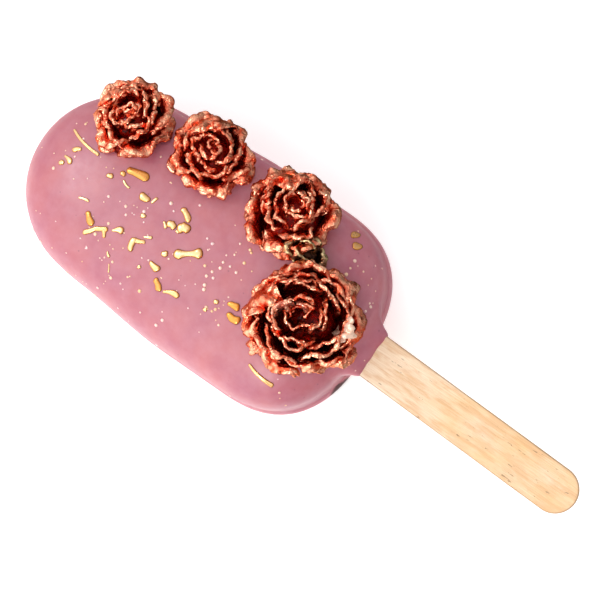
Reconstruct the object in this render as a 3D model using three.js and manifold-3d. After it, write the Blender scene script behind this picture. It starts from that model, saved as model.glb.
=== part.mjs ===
// A cakesicle: a bar of cake in a smooth coating on a flat wooden stick, lying on its flat back,
// with four sugar roses along one side of its face and raised splashes of gold between them.
// Millimetres, +Z up. X runs across the bar and +Y from the stick to the tip of the bar. The
// origin is the middle of the flat back.

import * as THREE from 'three';
import { mergeVertices } from 'three/addons/utils/BufferGeometryUtils.js';
import Module from 'manifold-3d';

const wasm = await Module();
wasm.setup();

// The bar. Both ends of its outline are superellipse caps, and its width tapers to the tip.
const bar = {
  tipEnd: 45.4,
  stickEnd: -46,
  tipHalfWidth: 23.6,
  stickHalfWidth: 25.8,
  taperFrom: -6,
  taperTo: 24,
  tipReach: 25,
  tipPower: 2.05,
  stickReach: 23,
  stickPower: 2.5,
  wallTop: 9.5,
  wallInset: 0.9,
  domeHeight: 15,
  domeReach: 24.9,
  domePower: 2.6,
};

// The side wall from the flat back up, as [inset from the outline, height]. It has a low foot
// where the coating set against the tray.
const wall = [
  [1.5, 0], [0.4, 0.45], [0, 1.4], [0.15, 2.3], [0.7, 3.2], [0.78, 5.5],
  [bar.wallInset, bar.wallTop],
];
const outlineSides = 64;
const fineOutlineSides = 360;
const offsetInsets = [1.3, 2.2, 3.8, 6.2, 9.6, 14];
const spineShares = [0.34, 0.68];
const capSteps = 90;
const sideSteps = 20;

// The stick, and how it sits in the bar.
const stick = {
  length: 113,
  width: 11,
  thickness: 2,
  edge: 0.35,
  height: 12,
  freeEnd: -105.6,
  middle: 1.7,
  yaw: THREE.MathUtils.degToRad(-1.9),
  edgeSteps: 2,
  endSteps: 9,
};
const gap = 0.3;

// The collar of coating that climbs the stick, as [distance along it, half width, half height].
const collar = {
  start: -39,
  rows: [
    [0, 10, 4.5], [5.2, 10, 4.5], [5.9, 8.8, 3.9], [6.9, 7.6, 3.1], [8.2, 6.7, 2.4], [9.8, 6.2, 2],
  ],
  sides: 20,
  power: 3,
};

// The roses: where each stands on the face, the radius of its rim across the bar and how much
// longer it is along the bar, its height, its lean in degrees, the shift of its heart, and its turn.
const roses = [
  {
    name: 'rose_tip', at: [14.5, 25.5], radius: 9.9, stretch: 0.88, height: 10.5, sunk: 1.0,
    leanX: 13, leanY: 5, heart: [0, 0.2], rings: 'small', turn: 0.3, seed: 18,
  },
  {
    name: 'rose_upper', at: [17.4, 6.1], radius: 9.5, stretch: 1.08, height: 10.5, sunk: 1.3,
    leanX: 14, leanY: 0, heart: [0.2, -0.4], rings: 'small', turn: 1.1, seed: 23,
  },
  {
    name: 'rose_lower', at: [16.8, -16.6], radius: 10.6, stretch: 0.93, height: 10.5, sunk: 1.3,
    leanX: 14, leanY: 0, heart: [1.2, -1.8], rings: 'small', turn: 2.3, seed: 40,
  },
  {
    name: 'rose_stick_end', at: [0, -32.7], radius: 13.5, stretch: 1, height: 13, sunk: 1.6,
    leanX: 1, leanY: -4, heart: [0.8, 0.8], rings: 'large', turn: 0.8, seed: 53,
  },
];
// The broken bud wedged between the two lower roses, stuck to one and clear of the other.
const brokenBud = {
  on: 'rose_lower', beside: 'rose_stick_end', at: [13.4, -24.8], radius: 4.2, stretch: 0.9, height: 6,
  leanX: 6, leanY: -6, heart: [0.4, 0.3], rings: 'bud', turn: 2.4, seed: 71, sunk: 0.6, clearance: 1.06,
};

// The rings of petals from the bud out. rim and top are shares of the rose's radius and height,
// and open runs from 0, cupped over the bud, to 1, laid right back.
const rings = {
  small: [
    { petals: 3, rim: 0.25, top: 1.0, open: 0.0, overlap: 1.25, columns: 4, rows: 2 },
    { petals: 4, rim: 0.5, top: 0.97, open: 0.25, overlap: 1.2, columns: 4, rows: 2 },
    { petals: 5, rim: 0.76, top: 0.82, open: 0.6, overlap: 1.15, columns: 5, rows: 2 },
    { petals: 5, rim: 1.0, top: 0.5, open: 1.0, overlap: 1.15, columns: 7, rows: 3 },
  ],
  large: [
    { petals: 3, rim: 0.22, top: 0.72, open: 0.0, overlap: 1.2, columns: 4, rows: 2 },
    { petals: 3, rim: 0.38, top: 0.9, open: 0.1, overlap: 1.15, columns: 5, rows: 2 },
    { petals: 4, rim: 0.54, top: 0.98, open: 0.2, overlap: 1.15, columns: 5, rows: 2 },
    { petals: 5, rim: 0.7, top: 0.92, open: 0.4, overlap: 1.15, columns: 5, rows: 2 },
    { petals: 5, rim: 0.85, top: 0.76, open: 0.7, overlap: 1.15, columns: 6, rows: 3 },
    { petals: 6, rim: 1.0, top: 0.5, open: 1.0, overlap: 1.1, columns: 6, rows: 3 },
  ],
  bud: [
    { petals: 2, rim: 0.5, top: 1.0, open: 0.2, overlap: 0.8, columns: 4, rows: 2 },
    { petals: 4, rim: 1.0, top: 0.7, open: 0.8, overlap: 0.95, columns: 4, rows: 3 },
  ],
};

// The heart under the petals: its flare as shares of the radius and height, and how high it ends.
const heartShape = { depth: 7, sides: 8, root: 0.7, flare: [0.79, 0.08], neck: [0.45, 0.8], shift: 0.3 };
const heartTips = { small: 0.66, large: 0.38, bud: 0.4 };

// One petal, in shares of the rose's radius and height, the rim of its ring or its own rise. Its
// profile runs from root to rim as [distance from the bud, height], cupped or laid right back.
const petal = {
  thickness: 1,
  foot: 0.06,
  rootShare: 0.25,
  cupped: [[0.5, 0], [1.02, 0.1], [1.06, 0.7], [0.9, 1]],
  laid: [[0.5, 0], [0.8, 0.25], [0.9, 1.3], [1, 1]],
  curl: 0.18,
  ruffle: 0.055,
  lift: 0.8,
  shoulder: 0.42,
  tuck: 0.065,
  narrow: 0.6,
  uneven: 0.1,
  jitter: 0.18,
  ringTurn: 0.9,
};

// The splashes of gold on the face: [x, y] of each end, and the widths there.
const splashes = [
  { from: [6.6, 38.4], to: [4.7, 30.2], widths: [0.6, 1.2] },
  { from: [-2.3, 35.9], to: [-1.7, 35.5], widths: [1.1, 1.3] },
  { from: [-0.9, 35.2], to: [-0.2, 33.6], widths: [1.1, 1.4] },
  { from: [2.2, 34.4], to: [3.4, 33.4], widths: [1.3, 0.9] },
  { from: [1.9, 23.4], to: [2.8, 22.6], widths: [1.4, 0.9] },
  { from: [5.3, 19.6], to: [6.3, 16.3], widths: [1.6, 2.2] },
  { from: [3.1, 20.2], to: [2.5, 18.6], widths: [0.9, 0.7] },
  { from: [-9.7, 20.6], to: [-7.9, 22.9], widths: [2.2, 1.5] },
  { from: [-12.4, 21.3], to: [-10.3, 18.9], widths: [1.4, 1.6] },
  { from: [-10.6, 19.2], to: [-8.9, 16.3], widths: [2.1, 1.1] },
  { from: [-8.6, 15.4], to: [-7.4, 14.5], widths: [0.7, 1.2] },
  { from: [-7.5, 14.7], to: [-6.4, 13.5], widths: [1.3, 2.4] },
  { from: [-2.5, 11.8], to: [-1.9, 11.6], widths: [2.1, 2.1] },
  { from: [1.9, 14.1], to: [2.6, 13.0], widths: [2.3, 1.6] },
  { from: [-9.1, 9.4], to: [-6.0, 10.0], widths: [1.7, 2.0] },
  { from: [-6.1, 10.0], to: [-4.6, 7.2], widths: [1.9, 0.9] },
  { from: [0.0, 6.3], to: [0.7, 4.7], widths: [1.4, 1.9] },
  { from: [1.2, 2.8], to: [1.9, 1.9], widths: [2.8, 2.6] },
  { from: [3.8, 1.5], to: [5.8, 4.4], widths: [2.4, 1.6] },
  { from: [-9.4, 4.3], to: [-9.9, 1.3], widths: [1.4, 2.3] },
  { from: [-5.9, 2.3], to: [-5.5, 2.1], widths: [1.7, 1.7] },
  { from: [-12.3, 0.6], to: [-13.0, -1.2], widths: [1.5, 2.3] },
  { from: [-13.4, -2.5], to: [-11.9, -5.9], widths: [1.3, 2.1] },
  { from: [-4.3, -0.1], to: [-2.7, -2.4], widths: [2.6, 1.5] },
  { from: [-2.9, -2.2], to: [-1.2, -4.6], widths: [1.5, 2.9] },
  { from: [-6.7, -16.7], to: [-6.5, -18.3], widths: [1.3, 1.9] },
  { from: [-9.0, -18.0], to: [-9.0, -19.9], widths: [1.7, 2.4] },
  { from: [-15.7, -28.0], to: [-16.7, -34.4], widths: [0.8, 1.2] },
  { from: [20.2, -32.3], to: [20.3, -32.7], widths: [1.5, 1.5] },
  { from: [22.1, -30.3], to: [22.3, -30.6], widths: [1.4, 1.4] },
];
const splash = { rise: 0.5, sides: 7, bands: 3 };

// Colours, roughness and metalness.
const finishes = {
  coating: { color: 0xc78491, roughness: 0.35, metalness: 0 },
  wood: { color: 0xecd0a4, roughness: 0.7, metalness: 0 },
  copper: { color: 0x8f4a35, roughness: 0.35, metalness: 0.8 },
};

const up = new THREE.Vector3(0, 0, 1);

/** A repeatable draw from 0 to 1 for a whole number. */
function draw(number) {
  const value = Math.sin(number * 12.9898 + 4.1414) * 437.5453;
  return value - Math.floor(value);
}

/** Half the bar's width at y, before the caps close it. */
function halfWidth(y) {
  const share = THREE.MathUtils.smoothstep(y, bar.taperFrom, bar.taperTo);
  return THREE.MathUtils.lerp(bar.stickHalfWidth, bar.tipHalfWidth, share);
}

/** The bar's outline seen from above, as evenly spaced points, anticlockwise. */
function outlinePoints(count) {
  const caps = [
    { from: 0, power: bar.tipPower, reach: bar.tipReach, centre: bar.tipEnd - bar.tipReach },
    { from: Math.PI, power: bar.stickPower, reach: bar.stickReach, centre: bar.stickEnd + bar.stickReach },
  ];
  const path = new THREE.CurvePath();
  const points = [];
  for (const cap of caps) {
    for (let i = 0; i <= capSteps; i++) {
      const angle = cap.from + (Math.PI * i) / capSteps;
      const across = Math.sign(Math.cos(angle)) * Math.abs(Math.cos(angle)) ** (2 / cap.power);
      const along = Math.sign(Math.sin(angle)) * Math.abs(Math.sin(angle)) ** (2 / cap.power);
      const y = cap.centre + cap.reach * along;
      points.push(new THREE.Vector2(halfWidth(y) * across, y));
    }
    const side = points.at(-1);
    const sideEnd = cap.from === 0 ? caps[1].centre : caps[0].centre;
    for (let i = 1; i < sideSteps; i++) {
      const y = THREE.MathUtils.lerp(side.y, sideEnd, i / sideSteps);
      points.push(new THREE.Vector2(Math.sign(side.x) * halfWidth(y), y));
    }
  }
  points.push(points[0].clone());
  for (let i = 0; i + 1 < points.length; i++) path.add(new THREE.LineCurve(points[i], points[i + 1]));
  return path.getSpacedPoints(count).slice(0, count);
}

const fineOutline = outlinePoints(fineOutlineSides);

/** How far a point of the plan lies inside the bar's outline. */
function insetAt(x, y) {
  const point = new THREE.Vector3(x, y, 0);
  const line = new THREE.Line3();
  const nearest = new THREE.Vector3();
  let least = Infinity;
  fineOutline.forEach((p, i) => {
    const q = fineOutline[(i + 1) % fineOutline.length];
    line.set(new THREE.Vector3(p.x, p.y, 0), new THREE.Vector3(q.x, q.y, 0));
    line.closestPointToPoint(point, true, nearest);
    least = Math.min(least, nearest.distanceTo(point));
  });
  return least;
}

/** The height of the face at a distance inside the outline: a superellipse over the side wall. */
function domeHeight(inset) {
  const share = THREE.MathUtils.clamp(1 - (inset - bar.wallInset) / bar.domeReach, 0, 1);
  return bar.wallTop + bar.domeHeight * (1 - share ** bar.domePower) ** (1 / bar.domePower);
}

/** A point of the face above x, y, with the face's normal there. */
function faceAt(x, y) {
  const step = 0.2;
  const z = (px, py) => domeHeight(insetAt(px, py));
  const slopeX = (z(x + step, y) - z(x - step, y)) / (2 * step);
  const slopeY = (z(x, y + step) - z(x, y - step)) / (2 * step);
  return {
    point: new THREE.Vector3(x, y, z(x, y)),
    normal: new THREE.Vector3(-slopeX, -slopeY, 1).normalize(),
  };
}

/** A closed surface through rings of points of one count, each end closed about its middle. */
function loft(rings) {
  const count = rings[0].length;
  const positions = rings.flat().flatMap((p) => p.toArray());
  const faces = [];
  for (let r = 0; r + 1 < rings.length; r++) {
    for (let i = 0; i < count; i++) {
      const a = r * count + i;
      const b = r * count + ((i + 1) % count);
      faces.push(a, b, b + count, a, b + count, a + count);
    }
  }
  for (const [ring, start] of [[rings[0], 0], [rings.at(-1), (rings.length - 1) * count]]) {
    const middle = ring.reduce((sum, p) => sum.add(p), new THREE.Vector3()).divideScalar(count);
    const tip = positions.length / 3;
    positions.push(middle.x, middle.y, middle.z);
    for (let i = 0; i < count; i++) {
      const a = start + i;
      const b = start + ((i + 1) % count);
      faces.push(...(start === 0 ? [b, a, tip] : [a, b, tip]));
    }
  }
  const geometry = new THREE.BufferGeometry();
  geometry.setAttribute('position', new THREE.Float32BufferAttribute(positions, 3));
  geometry.setIndex(faces);
  return geometry;
}

/** A three.js geometry as a solid that can be joined and cut. */
function toSolid(geometry) {
  const bare = geometry.clone();
  bare.deleteAttribute('normal');
  bare.deleteAttribute('uv');
  const merged = mergeVertices(bare, 1e-4);
  return new wasm.Manifold(
    new wasm.Mesh({
      numProp: 3,
      vertProperties: new Float32Array(merged.attributes.position.array),
      triVerts: new Uint32Array(merged.index.array),
    }),
  );
}

/** A solid as a three.js geometry. */
function toGeometry(solid) {
  const mesh = solid.getMesh();
  const geometry = new THREE.BufferGeometry();
  geometry.setAttribute('position', new THREE.BufferAttribute(new Float32Array(mesh.vertProperties), 3));
  geometry.setIndex(new THREE.BufferAttribute(new Uint32Array(mesh.triVerts), 1));
  geometry.computeVertexNormals();
  return geometry;
}

/** The bar alone, grown outwards by a margin. */
function barBody(margin) {
  const outline = outlinePoints(outlineSides);
  const spineTip = bar.tipEnd - bar.domeReach;
  const spineEnd = bar.stickEnd + bar.domeReach;
  const ring = (inset, z) =>
    outline.map((p, i) => {
      const next = outline[(i + 1) % outlineSides];
      const last = outline[(i + outlineSides - 1) % outlineSides];
      const inward = new THREE.Vector2(last.y - next.y, next.x - last.x).normalize();
      return new THREE.Vector3(p.x + inward.x * inset, p.y + inward.y * inset, z);
    });
  const rings = wall.map(([inset, z], i) => ring(inset - margin, i === 0 ? z - margin : z));
  for (const inset of offsetInsets) rings.push(ring(inset - margin, domeHeight(inset) + margin));
  const lastOffset = ring(offsetInsets.at(-1) - margin, 0);
  for (const share of spineShares) {
    rings.push(
      lastOffset.map((p) => {
        const spine = new THREE.Vector3(0, THREE.MathUtils.clamp(p.y, spineEnd, spineTip), 0);
        const inner = p.clone().lerp(spine, share);
        return inner.setZ(domeHeight(insetAt(inner.x, inner.y)) + margin);
      }),
    );
  }
  return toSolid(loft(rings));
}

/** The collar of coating round the stick, closing down to it along the stick's own direction. */
function collarBody() {
  const { sides, power } = collar;
  const rings = collar.rows.map(([along, halfWide, halfHigh]) => {
    const y = collar.start - along;
    const middle = stickMiddle(y);
    return Array.from({ length: sides }, (_, i) => {
      const angle = (-2 * Math.PI * i) / sides;
      const c = Math.sign(Math.cos(angle)) * Math.abs(Math.cos(angle)) ** (2 / power);
      const s = Math.sign(Math.sin(angle)) * Math.abs(Math.sin(angle)) ** (2 / power);
      return new THREE.Vector3(middle - c * halfWide, y, stick.height + s * halfHigh);
    });
  });
  return toSolid(loft(rings));
}

/** Where the stick's centre line crosses the bar at y. */
function stickMiddle(y) {
  return stick.middle - (y - bar.stickEnd) * Math.tan(stick.yaw);
}

/** The stick's flat outline with both ends round, extruded with eased edges, lying along Y. */
function stickGeometry() {
  const half = stick.width / 2 - stick.edge;
  const run = stick.length / 2 - stick.width / 2;
  const shape = new THREE.Shape();
  shape.moveTo(half, -run);
  shape.lineTo(half, run);
  shape.absarc(0, run, half, 0, Math.PI, false);
  shape.lineTo(-half, -run);
  shape.absarc(0, -run, half, Math.PI, 2 * Math.PI, false);
  const geometry = new THREE.ExtrudeGeometry(shape, {
    depth: stick.thickness - 2 * stick.edge,
    bevelEnabled: true,
    bevelThickness: stick.edge,
    bevelSize: stick.edge,
    bevelSegments: stick.edgeSteps,
    curveSegments: stick.endSteps,
  });
  return geometry.translate(0, 0, -(stick.thickness / 2 - stick.edge));
}

/** Places what lies along the stick in the bar's frame, with its middle share of the length in. */
function stickPlace(object, length) {
  const y = stick.freeEnd + length / 2;
  object.position.set(stickMiddle(y), y, stick.height);
  object.rotation.z = stick.yaw;
  object.updateMatrix();
  return object;
}

/** The slot that the stick is pushed into, a gap wider than the stick all round. */
function slotBody() {
  const length = stick.length + gap;
  const slot = stickPlace(
    new THREE.Mesh(new THREE.BoxGeometry(stick.width + 2 * gap, length, stick.thickness + 2 * gap)),
    length,
  );
  return toSolid(slot.geometry.applyMatrix4(slot.matrix));
}

/** One raised splash on the face: a low drop drawn out between its two ends. */
function splashBody({ from, to, widths }) {
  const start = new THREE.Vector2(...from);
  const end = new THREE.Vector2(...to);
  const length = start.distanceTo(end) + (widths[0] + widths[1]) / 2;
  const middle = start.clone().add(end).multiplyScalar(0.5);
  const { point, normal } = faceAt(middle.x, middle.y);
  const geometry = new THREE.SphereGeometry(1, splash.sides, splash.bands);
  geometry.rotateX(Math.PI / 2);
  const place = geometry.attributes.position;
  for (let i = 0; i < place.count; i++) {
    const along = place.getX(i);
    const width = THREE.MathUtils.lerp(widths[0], widths[1], (along + 1) / 2);
    place.setXYZ(i, (along * length) / 2, (place.getY(i) * width) / 2, place.getZ(i) * splash.rise);
  }
  geometry.rotateZ(Math.atan2(end.y - start.y, end.x - start.x));
  geometry.applyQuaternion(new THREE.Quaternion().setFromUnitVectors(up, normal));
  return toSolid(geometry.translate(point.x, point.y, point.z));
}

/** The coating: the bar with its collar and splashes joined on and the stick's slot cut out. */
function coatingSolid() {
  const joined = splashes.reduce((body, spec) => body.add(splashBody(spec)), barBody(0).add(collarBody()));
  return joined.subtract(slotBody());
}

/** The middle surface of one petal, for a from -1 to 1 across it and b from 0 at its root to 1. */
function petalSurface(rose, ring, ringIndex, index) {
  const { lerp } = THREE.MathUtils;
  const { radius, height } = rose;
  const seed = rose.seed + 17 * ringIndex + 5 * index;
  const rim = ring.rim * radius * (1 + petal.uneven * (draw(seed) - 0.5));
  const top = ring.top * height * (1 + petal.uneven * (draw(seed + 1) - 0.5));
  const foot = petal.foot * height;
  const knots = petal.cupped.map(([out, high], i) => {
    const [laidOut, laidHigh] = petal.laid[i];
    const z = foot + (top - foot) * lerp(high, laidHigh, ring.open);
    return new THREE.Vector2(rim * lerp(out, laidOut, ring.open), z);
  });
  knots.at(-1).y -= petal.curl * height * ring.open ** 3;
  const profile = new THREE.CubicBezierCurve(...knots);
  const turns = (index + petal.jitter * draw(seed + 2)) / ring.petals;
  const centre = rose.turn + petal.ringTurn * ringIndex + 2 * Math.PI * turns;
  const halfAngle = (Math.PI / ring.petals) * ring.overlap;
  const phase = 2 * Math.PI * draw(seed + 3);
  const ruffle = petal.ruffle * radius * ring.rim ** 1.5;
  const shift = new THREE.Vector2(...rose.heart).multiplyScalar(1 - ring.rim);
  return (a, b) => {
    const p = profile.getPoint(b * (1 - petal.shoulder * Math.abs(a) ** 5));
    const wave = Math.sin(2.6 * Math.PI * a + phase) + 0.4 * Math.sin(5.1 * Math.PI * a + 2.3 * phase);
    const lift = Math.cos(2.2 * Math.PI * a + 2 * phase);
    const r = p.x + b * b * ruffle * wave + petal.tuck * radius * a;
    const angle = centre + a * halfAngle * lerp(petal.narrow, 1, b);
    return new THREE.Vector3(
      shift.x + r * Math.cos(angle),
      shift.y + rose.stretch * r * Math.sin(angle),
      p.y + petal.lift * b * b * ruffle * lift,
    );
  };
}

/** A thin sheet about a surface, thick in its middle and drawn to an edge all round. */
function sheet(surface, thickness, columns, rows) {
  const positions = [];
  const faces = [];
  const place = new Map();
  const vertex = (i, j, side) => {
    const edge = i === 0 || i === columns || j === 0 || j === rows;
    const key = `${i},${j},${edge ? 0 : side}`;
    if (!place.has(key)) {
      const a = (2 * i) / columns - 1;
      const b = THREE.MathUtils.lerp(petal.rootShare, 1, j / rows);
      const p = surface(a, b);
      if (!edge) {
        const step = 0.02;
        const along = surface(a + step, b).sub(surface(a - step, b));
        const outward = surface(a, b + step).sub(surface(a, b - step)).cross(along).normalize();
        p.addScaledVector(outward, (-side * thickness) / 2);
      }
      place.set(key, positions.length / 3);
      positions.push(p.x, p.y, p.z);
    }
    return place.get(key);
  };
  for (let i = 0; i < columns; i++) {
    for (let j = 0; j < rows; j++) {
      for (const side of [1, -1]) {
        const corners = [[i, j], [i + 1, j], [i + 1, j + 1], [i, j + 1]].map(([p, q]) => vertex(p, q, side));
        if (side < 0) corners.reverse();
        faces.push(corners[0], corners[1], corners[2], corners[0], corners[2], corners[3]);
      }
    }
  }
  const geometry = new THREE.BufferGeometry();
  geometry.setAttribute('position', new THREE.Float32BufferAttribute(positions, 3));
  geometry.setIndex(faces);
  return geometry;
}

/** The rose's heart: a blunt cone that every petal springs from, reaching down into the coating. */
function heartGeometry({ radius, stretch, height, heart, rings: kind }) {
  const { depth, sides, root, flare, neck, shift } = heartShape;
  const tip = heartTips[kind] * height;
  const profile = [
    [0, -depth],
    [root * radius, -depth],
    [flare[0] * radius, flare[1] * height],
    [neck[0] * radius, neck[1] * tip],
    [0, tip],
  ];
  return new THREE.LatheGeometry(profile.map(([r, z]) => new THREE.Vector2(r, z)), sides)
    .rotateX(Math.PI / 2)
    .scale(1, stretch, 1)
    .translate(shift * heart[0], shift * heart[1], 0);
}

/** A rose: its petals joined to its heart, stood on the face with its base sunk into it. */
function roseSolid(rose) {
  let solid = toSolid(heartGeometry(rose));
  rings[rose.rings].forEach((ring, ringIndex) => {
    for (let index = 0; index < ring.petals; index++) {
      const surface = petalSurface(rose, ring, ringIndex, index);
      solid = solid.add(toSolid(sheet(surface, petal.thickness, ring.columns, ring.rows)));
    }
  });
  const { point } = faceAt(...rose.at);
  const lean = new THREE.Euler(
    THREE.MathUtils.degToRad(-rose.leanY),
    THREE.MathUtils.degToRad(rose.leanX),
    0,
  );
  const stand = new THREE.Matrix4().makeRotationFromEuler(lean).setPosition(point.setZ(point.z - rose.sunk));
  return solid.transform(stand.elements);
}

/** The broken bud, cut back round where the rose beside it spreads. */
function budSolid() {
  const beside = roses.find((rose) => rose.name === brokenBud.beside);
  const clear = beside.radius * brokenBud.clearance;
  const reach = new THREE.CylinderGeometry(clear, clear, 60, 32);
  reach.rotateX(Math.PI / 2).translate(...beside.at, bar.wallTop + bar.domeHeight);
  return roseSolid(brokenBud).subtract(toSolid(reach));
}

/** The largest body of a solid, without loose scraps. */
function largestBody(solid) {
  return solid.decompose().reduce((best, body) => (body.volume() > best.volume() ? body : best));
}

/** A named mesh with its finish. */
function part(name, geometry, finish) {
  const mesh = new THREE.Mesh(geometry, new THREE.MeshStandardMaterial(finish));
  mesh.name = name;
  return mesh;
}

const cakesicle = new THREE.Group();
cakesicle.name = 'cakesicle';
cakesicle.add(part('coating', toGeometry(coatingSolid()), finishes.coating));
cakesicle.add(stickPlace(part('stick', stickGeometry(), finishes.wood), stick.length));

const grownBar = barBody(gap);
for (const rose of roses) {
  const whole = rose.name === brokenBud.on ? roseSolid(rose).add(budSolid()) : roseSolid(rose);
  const solid = largestBody(whole.subtract(grownBar));
  cakesicle.add(part(rose.name, toGeometry(solid), finishes.copper));
}

export default cakesicle;
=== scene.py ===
"""Dresses a cakesicle: satin coating, gold splashes and specks, copper roses and a wooden stick.

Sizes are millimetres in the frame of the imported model, and meshes are made in metres. +Y runs from
the stick to the tip of the bar, and +Z is up out of its face.
"""

import logging
import math
from collections.abc import Callable
from dataclasses import dataclass
from enum import Enum, IntEnum

import bmesh
import bpy
import numpy as np
from mathutils import Matrix, Vector, noise


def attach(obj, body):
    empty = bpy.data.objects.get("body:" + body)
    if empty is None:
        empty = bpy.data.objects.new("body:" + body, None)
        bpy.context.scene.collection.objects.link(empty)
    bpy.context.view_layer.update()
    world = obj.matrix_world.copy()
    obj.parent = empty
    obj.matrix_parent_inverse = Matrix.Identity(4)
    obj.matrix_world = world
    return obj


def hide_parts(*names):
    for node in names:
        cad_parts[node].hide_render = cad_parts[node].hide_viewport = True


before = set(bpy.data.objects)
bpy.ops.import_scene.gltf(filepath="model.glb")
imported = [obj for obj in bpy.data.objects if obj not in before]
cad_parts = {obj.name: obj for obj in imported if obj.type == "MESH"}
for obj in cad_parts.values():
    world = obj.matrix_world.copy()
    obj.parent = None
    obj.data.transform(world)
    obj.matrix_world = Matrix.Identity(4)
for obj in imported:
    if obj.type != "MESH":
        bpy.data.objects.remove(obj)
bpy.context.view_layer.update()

log = logging.getLogger("cakesicle")

MM = 0.001
BODY = "root"
FULL_TURN = 2 * math.pi
STICK_YAW = math.radians(-1.9)
TINY = 1e-9

Array = np.ndarray
Values = float | np.ndarray
Socket = bpy.types.NodeSocket
Pair = tuple[float, float]
Triple = tuple[float, float, float]
Faces = list[tuple[int, ...]]


# Small sums that several pieces share


def lerp(low: Values, high: Values, share: Values) -> Values:
    """The value a share of the way from low to high."""
    return low + (high - low) * share


def random_share(number: float) -> float:
    """A repeatable share from 0 to 1 for a number."""
    step, start, spread = 12.9898, 4.1414, 437.5453
    value = math.sin(number * step + start) * spread
    return value - math.floor(value)


def signed_power(values: Array, power: float) -> Array:
    """Raises the sizes of values to a power and keeps their signs."""
    return np.sign(values) * np.abs(values) ** power


def zigzag(angle: Array) -> Array:
    """A wave from -1 to 1 like a sine, with straight runs and sharp turns."""
    return np.arcsin(np.sin(angle)) / (math.pi / 2)


def crowd_ends(values: Array, share: float) -> Array:
    """Moves values between -1 and 1 some of the way towards a sine's, which lie closer at the ends."""
    return lerp(values, np.sin(values * math.pi / 2), share)


def smooth_curve(knots: list[Pair], steps: int) -> Array:
    """A smooth curve through knots.

    Args:
        knots: The points to pass through.
        steps: How many points to make for each stretch between two knots.

    Returns:
        The curve's points, with the last knot as the last.
    """
    points = np.array([knots[0], *knots, knots[-1]], dtype=float)
    share = np.linspace(0, 1, steps, endpoint=False)[:, None]
    runs = []
    for before, start, end, after in zip(points, points[1:], points[2:], points[3:]):
        runs.append(
            start
            + 0.5 * share * (end - before)
            + share**2 * (before - 2.5 * start + 2 * end - 0.5 * after)
            + 0.5 * share**3 * (3 * start - before - 3 * end + after)
        )
    return np.vstack([*runs, points[-1:]])


def crinkle(points: Array, size: float, offset: float) -> Array:
    """Smooth noise from about -1 to 1 at each point.

    Args:
        points: Places in millimetres.
        size: The width of one wave of the noise.
        offset: Moves the pattern, so that no two pieces share one.

    Returns:
        One value for each point.
    """
    skew = 1.7
    shift = Vector((offset, skew * offset, -offset))
    return np.array([noise.noise(Vector(point) / size + shift) for point in points])


# Meshes and objects


def make_object(name: str, points: Array, faces: Faces, material: bpy.types.Material) -> bpy.types.Object:
    """Makes a smooth-shaded object from points in millimetres, with its faces pointing out.

    Args:
        name: The object's name.
        points: One row of x, y and z for each vertex.
        faces: The vertex numbers of each face.
        material: The finish of every face.

    Returns:
        The object, linked to the scene.
    """
    mesh = bpy.data.meshes.new(name)
    mesh.from_pydata((points * MM).tolist(), [], faces)
    work = bmesh.new()
    work.from_mesh(mesh)
    bmesh.ops.recalc_face_normals(work, faces=work.faces)
    work.to_mesh(mesh)
    work.free()
    mesh.shade_smooth()
    mesh.materials.append(material)
    made = bpy.data.objects.new(name, mesh)
    bpy.context.scene.collection.objects.link(made)
    return made


def store(made: bpy.types.Object, name: str, values: Array) -> None:
    """Stores one number for each vertex as a named attribute."""
    attribute = made.data.attributes.new(name, "FLOAT", "POINT")
    attribute.data.foreach_set("value", np.asarray(values, dtype=np.float32))


def places_of(mesh: bpy.types.Mesh) -> Array:
    """The mesh's vertices in millimetres, one row for each."""
    places = np.empty(len(mesh.vertices) * 3)
    mesh.vertices.foreach_get("co", places)
    return places.reshape(-1, 3) / MM


def dress(made: bpy.types.Object, slot: str, *nodes: str) -> None:
    """Hangs a finished piece on the body, hides the CAD nodes that it stands for and logs its triangle
    count.

    Args:
        made: The finished piece.
        slot: Not used.
        nodes: The CAD nodes that it stands for.
    """
    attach(made, BODY)
    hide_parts(*nodes)
    triangles = sum(len(polygon.vertices) - 2 for polygon in made.data.polygons)
    log.info("%s: %d triangles", made.name, triangles)


def lifted(plan: Array, height: Values) -> Array:
    """The points of a plan, raised to one height or to a height each."""
    return np.column_stack((plan, np.broadcast_to(height, len(plan))))


def ring_faces(rows: int, columns: int) -> Faces:
    """Quads between neighbouring rings of vertices that are numbered ring by ring."""
    faces = []
    for row in range(rows - 1):
        low = row * columns
        high = low + columns
        for i in range(columns):
            j = (i + 1) % columns
            faces.append((low + i, low + j, high + j, high + i))
    return faces


def ladder_faces(start: int, columns: int) -> Faces:
    """Closes a long ring across its middle, from each side to the vertex that mirrors it.

    Args:
        start: The number of the ring's first vertex, which lies on the mirror line.
        columns: How many vertices the ring has, an even number.

    Returns:
        The faces, with a triangle at each end.
    """
    half = columns // 2
    faces = [(start, start + 1, start + columns - 1)]
    for i in range(1, half - 1):
        faces.append((start + i, start + i + 1, start + columns - i - 1, start + columns - i))
    faces.append((start + half - 1, start + half, start + half + 1))
    return faces


def laddered_faces(rows: int, columns: int) -> Faces:
    """The faces of a stack of rings whose first and last are closed across."""
    last = (rows - 1) * columns
    return ring_faces(rows, columns) + ladder_faces(0, columns) + ladder_faces(last, columns)


def poled_faces(rows: int, columns: int) -> Faces:
    """The faces of a stack of rings between one vertex before them and one after them."""
    last = 1 + (rows - 1) * columns
    faces = [tuple(1 + i for i in face) for face in ring_faces(rows, columns)]
    for i in range(columns):
        j = (i + 1) % columns
        faces.append((0, 1 + i, 1 + j))
        faces.append((last + i, last + j, last + columns))
    return faces


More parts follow.
